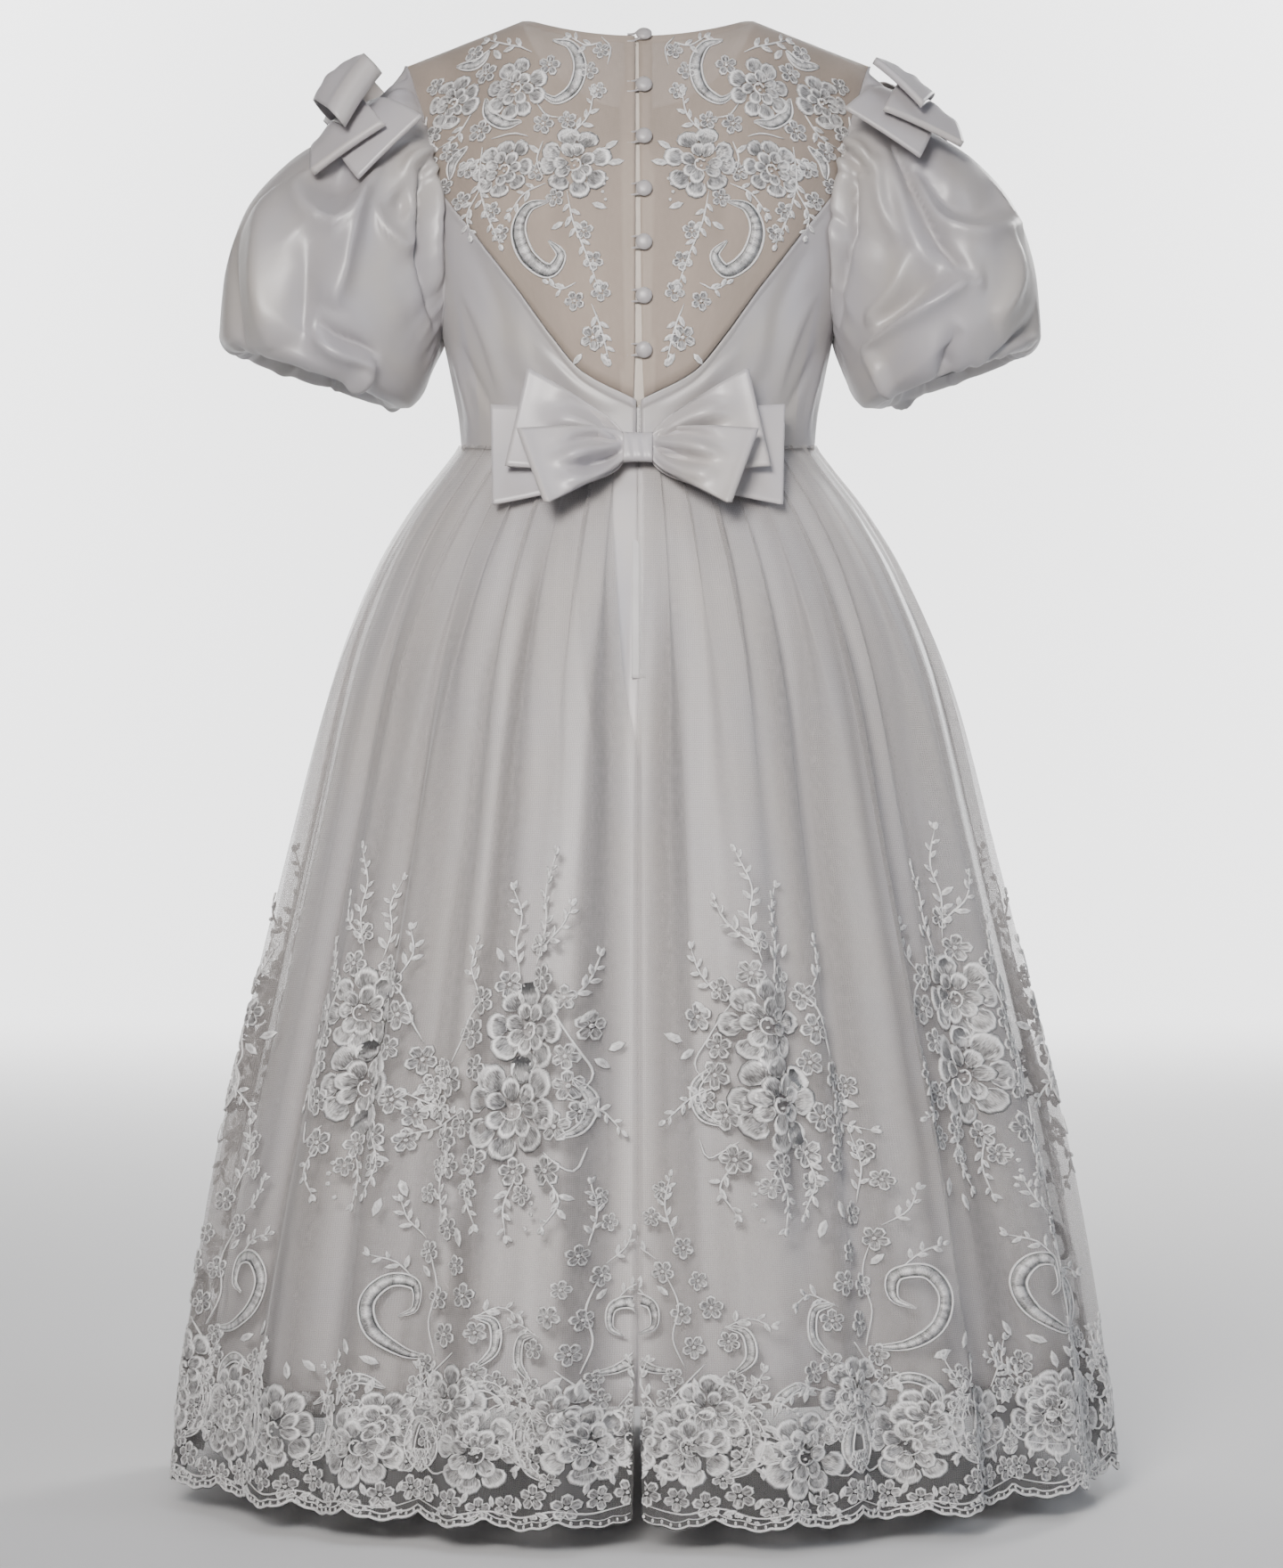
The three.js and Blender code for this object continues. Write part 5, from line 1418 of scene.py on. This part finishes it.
def onSleeve(word):
    row, scale = sleeveBows[word], sleeveBowCloth["scale"]
    slope = float(radians(row["slope"]))
    downSlope = np.array([row["side"] * math.cos(slope), 0, -math.sin(slope)])
    outward = np.array([row["side"] * math.sin(slope), 0, math.cos(slope)])

    def place(points):
        bendAngle = points[..., 0:1] * scale / row["bend"]
        radius = row["bend"] - points[..., 1:2] * scale
        return (np.array([0, 1, 0]) * radius * np.sin(bendAngle)
                + downSlope * (row["across"] + points[..., 2:3] * scale)
                + outward * (row["out"] - row["bend"] + radius * np.cos(bendAngle)))

    return place


makeBow("waistBow", atWaist, waistBow["puffs"])
for word in ("left", "right"):
    makeBow("sleeveBow" + word.capitalize(), onSleeve(word), sleeveBows[word]["puffs"], **sleeveBowCloth)
print("bows made")


# Selects the faces or vertices of a mesh that a test picks, and goes into edit mode
def selectInEdit(piece, kind, test):
    objectMode()
    mesh = piece.data
    for parts in (mesh.polygons, mesh.edges, mesh.vertices):
        parts.foreach_set("select", np.zeros(len(parts), bool))
    for part in getattr(mesh, kind):
        part.select = bool(test(part))
    bpy.ops.object.mode_set(mode="EDIT")
    bpy.ops.mesh.select_mode(type={"polygons": "FACE", "vertices": "VERT"}[kind])


# The next three work on what is selected in edit mode, in millimetres
def shift(z):
    bpy.ops.transform.translate(value=(0, 0, z * mm))


def inset(thickness):
    bpy.ops.mesh.inset(thickness=thickness * mm)


def extrude(x=0.0, z=0.0):
    bpy.ops.mesh.extrude_region_move(TRANSFORM_OT_translate={"value": (x * mm, 0, z * mm)})


def applyTransforms():
    bpy.ops.object.transform_apply(location=True, rotation=True, scale=True)


def finishHandPiece(piece, name, finish):
    selectOnly(piece)
    piece.name = piece.data.name = name
    piece.data.materials.clear()
    piece.data.materials.append(finish)
    applyTransforms()
    bpy.ops.object.shade_smooth_by_angle(angle=math.radians(50))


def placeCopy(model, name, matrix):
    copy = model.copy()
    copy.data = model.data.copy()
    bpy.context.scene.collection.objects.link(copy)
    copy.name = copy.data.name = name
    copy.matrix_world = matrix
    selectOnly(copy)
    applyTransforms()
    return copy


# A covered button: a low dome of satin drawn over a mould and gathered under its rim
button = {"radius": 5.7, "rim": 1.7, "middle": 2.5, "lift": 1.15, "sides": 40, "count": 7,
          "firstDrop": 20, "pitch": 35, "offset": 4, "seat": 0.9}
loop = {"radius": 0.8, "height": 1.15, "bend": 3.7, "leg": 11, "legSteps": 5, "sides": 12, "steps": 14}


def modelButton():
    selectOnly()
    middle = button["middle"] * mm
    bpy.ops.mesh.primitive_cylinder_add(vertices=button["sides"], radius=button["radius"] * 0.9 * mm,
                                        depth=button["rim"] * mm, location=(0, 0, middle))
    piece = bpy.context.active_object
    selectInEdit(piece, "polygons", lambda face: face.normal.z > 0.9)
    for width, rise in ((0.5, 0.55), (0.9, 0.6), (1.2, 0.42), (1.3, 0.16)):
        inset(width)
        shift(rise)
    bpy.ops.mesh.poke()
    selectInEdit(piece, "polygons", lambda face: face.normal.z < -0.9)
    inset(0.9)
    shift(-0.35)
    inset(2.2)
    extrude(z=-button["lift"])
    inset(0.3)
    # the rim swells a little past the dome, where the cloth is turned under
    selectInEdit(piece, "polygons",
                 lambda face: abs(face.normal.z) < 0.3 and face.center.to_2d().length > 4 * mm)
    bpy.ops.mesh.subdivide(number_cuts=1)
    selectInEdit(piece, "vertices", lambda vertex: abs(vertex.co.z + piece.location.z - middle) < 0.2 * mm)
    bpy.ops.transform.resize(value=(1.09, 1.09, 1), center_override=(0, 0, middle))
    finishHandPiece(piece, "buttonModel", satin)
    applyModifier(piece, "SUBSURF", levels=1, render_levels=1)
    return piece


# A rouleau loop: a round of cord from the left edge, round the shank and back
def modelLoop():
    selectOnly()
    bpy.ops.mesh.primitive_circle_add(vertices=loop["sides"], radius=loop["radius"] * mm, fill_type="NOTHING",
                                      rotation=(0, math.pi / 2, 0),
                                      location=(-loop["leg"] * mm, -loop["bend"] * mm, loop["height"] * mm))
    applyTransforms()
    piece = bpy.context.active_object
    bpy.ops.object.mode_set(mode="EDIT")
    bpy.ops.mesh.select_all(action="SELECT")
    for _ in range(loop["legSteps"]):
        extrude(x=loop["leg"] / loop["legSteps"])
    bpy.ops.mesh.spin(steps=loop["steps"], angle=math.pi, center=(0, 0, loop["height"] * mm), axis=(0, 0, -1))
    for _ in range(loop["legSteps"]):
        extrude(x=-loop["leg"] / loop["legSteps"])
    bpy.ops.mesh.select_all(action="SELECT")
    bpy.ops.mesh.remove_doubles(threshold=0.02 * mm)
    bpy.ops.mesh.fill_holes(sides=loop["sides"])
    bpy.ops.mesh.normals_make_consistent(inside=False)
    # the ends go down behind the net, where they are sewn
    for past, down in ((5.5, 0.7), (6.5, 1.1), (8.5, 0.5)):
        selectInEdit(piece, "vertices", lambda vertex: vertex.co.x < -past * mm)
        shift(-down)
    finishHandPiece(piece, "loopModel", satin)
    return piece


def seatFrame(index):
    drop = button["firstDrop"] + index * button["pitch"]
    drops = np.array([drop, drop - 3])
    turns = edgeTurn(button["offset"], torsoAt(drops)["halfWidth"])
    seat, above = torsoPoint(turns, drops)
    upward = Vector(above - seat).normalized()
    outward = Vector((1, 0, 0)).cross(upward).normalized()
    if outward.y > 0:
        outward = -outward
    across = upward.cross(outward).normalized()
    place = Vector(seat) + outward * button["seat"]
    frameAxes = Matrix((across, upward, outward)).transposed().to_4x4()
    return Matrix.Translation(place * mm) @ frameAxes


buttonModel, loopModel = modelButton(), modelLoop()
for index in range(button["count"]):
    place = seatFrame(index)
    number = index + 1
    cap = placeCopy(buttonModel, f"button{number}", place @ Matrix.Rotation(index * 1.3, 4, "Z"))
    declare(cap, "satin", f"button_{number}")
    declare(placeCopy(loopModel, f"buttonLoop{number}", place), "satin", f"button_loop_{number}")
for model in (buttonModel, loopModel):
    bpy.data.objects.remove(model, do_unlink=True)
print("buttons and loops made")

# The closed invisible zip behind the centre-back edges: a tape with its coil down the middle.
# Body share is how much of its length lies above the waist
zipPart = {"halfWidth": 5.6, "middle": 1.4, "top": 264, "lastFall": 150, "wall": 0.8, "inset": 2.6,
           "coilInset": 1.6, "teeth": 84, "bodyShare": 0.13, "rows": 50, "columns": 7}


def zipPlace(across, along, inset):
    bodyShare = zipPart["bodyShare"]
    drop = blend(zipPart["top"], waistDrop(0), np.clip(along / bodyShare, 0, 1))
    fall = np.clip((along - bodyShare) / (1 - bodyShare), 0, 1) * zipPart["lastFall"]
    body = torsoPoint(edgeTurn(across, torsoAt(drop)["halfWidth"]), drop, -inset)
    ring = skirtAt(fall)
    below = skirtPoint(edgeTurn(across, ring["halfWidth"]), fall, -ring["inset"] - inset)
    return np.where((along < bodyShare)[..., None], body, below)


def makeCoil():
    selectOnly()
    bpy.ops.mesh.primitive_torus_add(major_segments=10, minor_segments=5, major_radius=0.75 * mm,
                                     minor_radius=0.28 * mm, rotation=(math.pi / 2, 0, 0))
    tooth = bpy.context.active_object
    applyTransforms()
    shares = np.linspace(0.01, 0.99, zipPart["teeth"])
    spots = zipPlace(np.full(shares.shape, zipPart["middle"]), shares, zipPart["coilInset"])
    teeth = [placeCopy(tooth, f"tooth{index}", Matrix.Translation(Vector(spot) * mm))
             for index, spot in enumerate(spots)]
    bpy.data.objects.remove(tooth, do_unlink=True)
    selectOnly(*teeth)
    bpy.ops.object.join()
    finishHandPiece(teeth[0], "zipCoil", zipCloth)
    declare(teeth[0], "zip_tape")


alongZip = np.linspace(0, 1, zipPart["rows"])[:, None]
acrossZip = zipPart["middle"] + np.linspace(-1, 1, zipPart["columns"])[None, :] * zipPart["halfWidth"]
tape = zipPlace(*np.broadcast_arrays(acrossZip, alongZip), zipPart["inset"])
makeCloth("zipTape", tape, zipPart["wall"], zipCloth, "zip_tape", node="zip")
makeCoil()
print("zip made")

stage = {
    "floorDrop": 983, "width": 14, "back": 8, "front": 8, "height": 5.5, "cove": 2.2,
    "world": (0.80, 0.80, 0.82), "worldStrength": 0.15, "paper": (0.84, 0.84, 0.845),
    "camera": (0.0024, -3.0, -0.513), "lens": 102.3,
}
# Lights: place, aim, size in metres, watts, colour and spread. The first three light the dress,
# the next one its front, and the last two only the paper behind it
lights = {
    "key": ((-0.5, -2.75, 0.45), (0, 0, -0.44), 0.75, 9.8, (1, 0.96, 0.93), 50),
    "coolRight": ((2.3, -1.5, 0.3), (0, 0, -0.5), 0.9, 13, (0.78, 0.86, 1)),
    "coolTop": ((0.3, -1.0, 2.2), (0, 0, -0.3), 0.9, 12, (0.85, 0.9, 1)),
    "front": ((1.7, 2.5, 1.0), (0, 0, -0.4), 0.6, 38, (1, 0.985, 0.97)),
    "paperLeft": ((-3.2, 5.6, 2.6), (-0.7, 8, 0.5), 1.4, 460, (1, 1, 1)),
    "paperRight": ((3.2, 5.6, 2.6), (0.7, 8, 0.5), 1.4, 460, (1, 1, 1)),
}


def addLight(name, place, aim, size, power, colour, spread=180):
    data = bpy.data.lights.new(name, "AREA")
    data.shape, data.size, data.energy, data.color = "SQUARE", size, power, colour
    data.spread = float(radians(spread))
    light = bpy.data.objects.new(name, data)
    bpy.context.scene.collection.objects.link(light)
    light.location = place
    light.rotation_euler = (Vector(aim) - Vector(place)).to_track_quat("-Z", "Y").to_euler()


# A sheet of pale paper: flat under the dress and curved up behind it
def makePaper():
    paperFinish, tree, shader = startMaterial("palePaper", 0.9)
    setSockets(tree, shader, {"Base Color": (*stage["paper"], 1)})
    selectOnly()
    middle = (0, (stage["back"] - stage["front"]) / 2, -stage["floorDrop"] * mm)
    bpy.ops.mesh.primitive_plane_add(size=1, location=middle)
    paper = bpy.context.active_object
    paper.scale = (stage["width"], stage["back"] + stage["front"], 1)
    applyTransforms()
    selectInEdit(paper, "vertices", lambda vertex: vertex.co.y > 0)
    bpy.ops.mesh.select_mode(type="EDGE")
    bpy.ops.mesh.extrude_region_move(TRANSFORM_OT_translate={"value": (0, 0, stage["height"])})
    selectInEdit(paper, "vertices", lambda vertex: vertex.co.y > 0 and vertex.co.z < -0.9)
    bpy.ops.mesh.select_mode(type="EDGE")
    bpy.ops.mesh.bevel(offset=stage["cove"], segments=16)
    selectOnly(paper)
    paper.name = "paper"
    paper.data.materials.append(paperFinish)
    bpy.ops.object.shade_smooth()


def makeStage():
    scene = bpy.context.scene
    scene.world = bpy.data.worlds.new("studio")
    scene.world.use_nodes = True
    background = scene.world.node_tree.nodes["Background"]
    background.inputs["Color"].default_value = (*stage["world"], 1)
    background.inputs["Strength"].default_value = stage["worldStrength"]
    makePaper()
    for name, values in lights.items():
        addLight(name, *values)
    camera = bpy.data.objects.new("camera", bpy.data.cameras.new("camera"))
    camera.data.lens = stage["lens"]
    scene.collection.objects.link(camera)
    camera.location = stage["camera"]
    camera.rotation_euler = (math.pi / 2, 0, 0)
    scene.camera = camera


makeStage()
print("stage made")
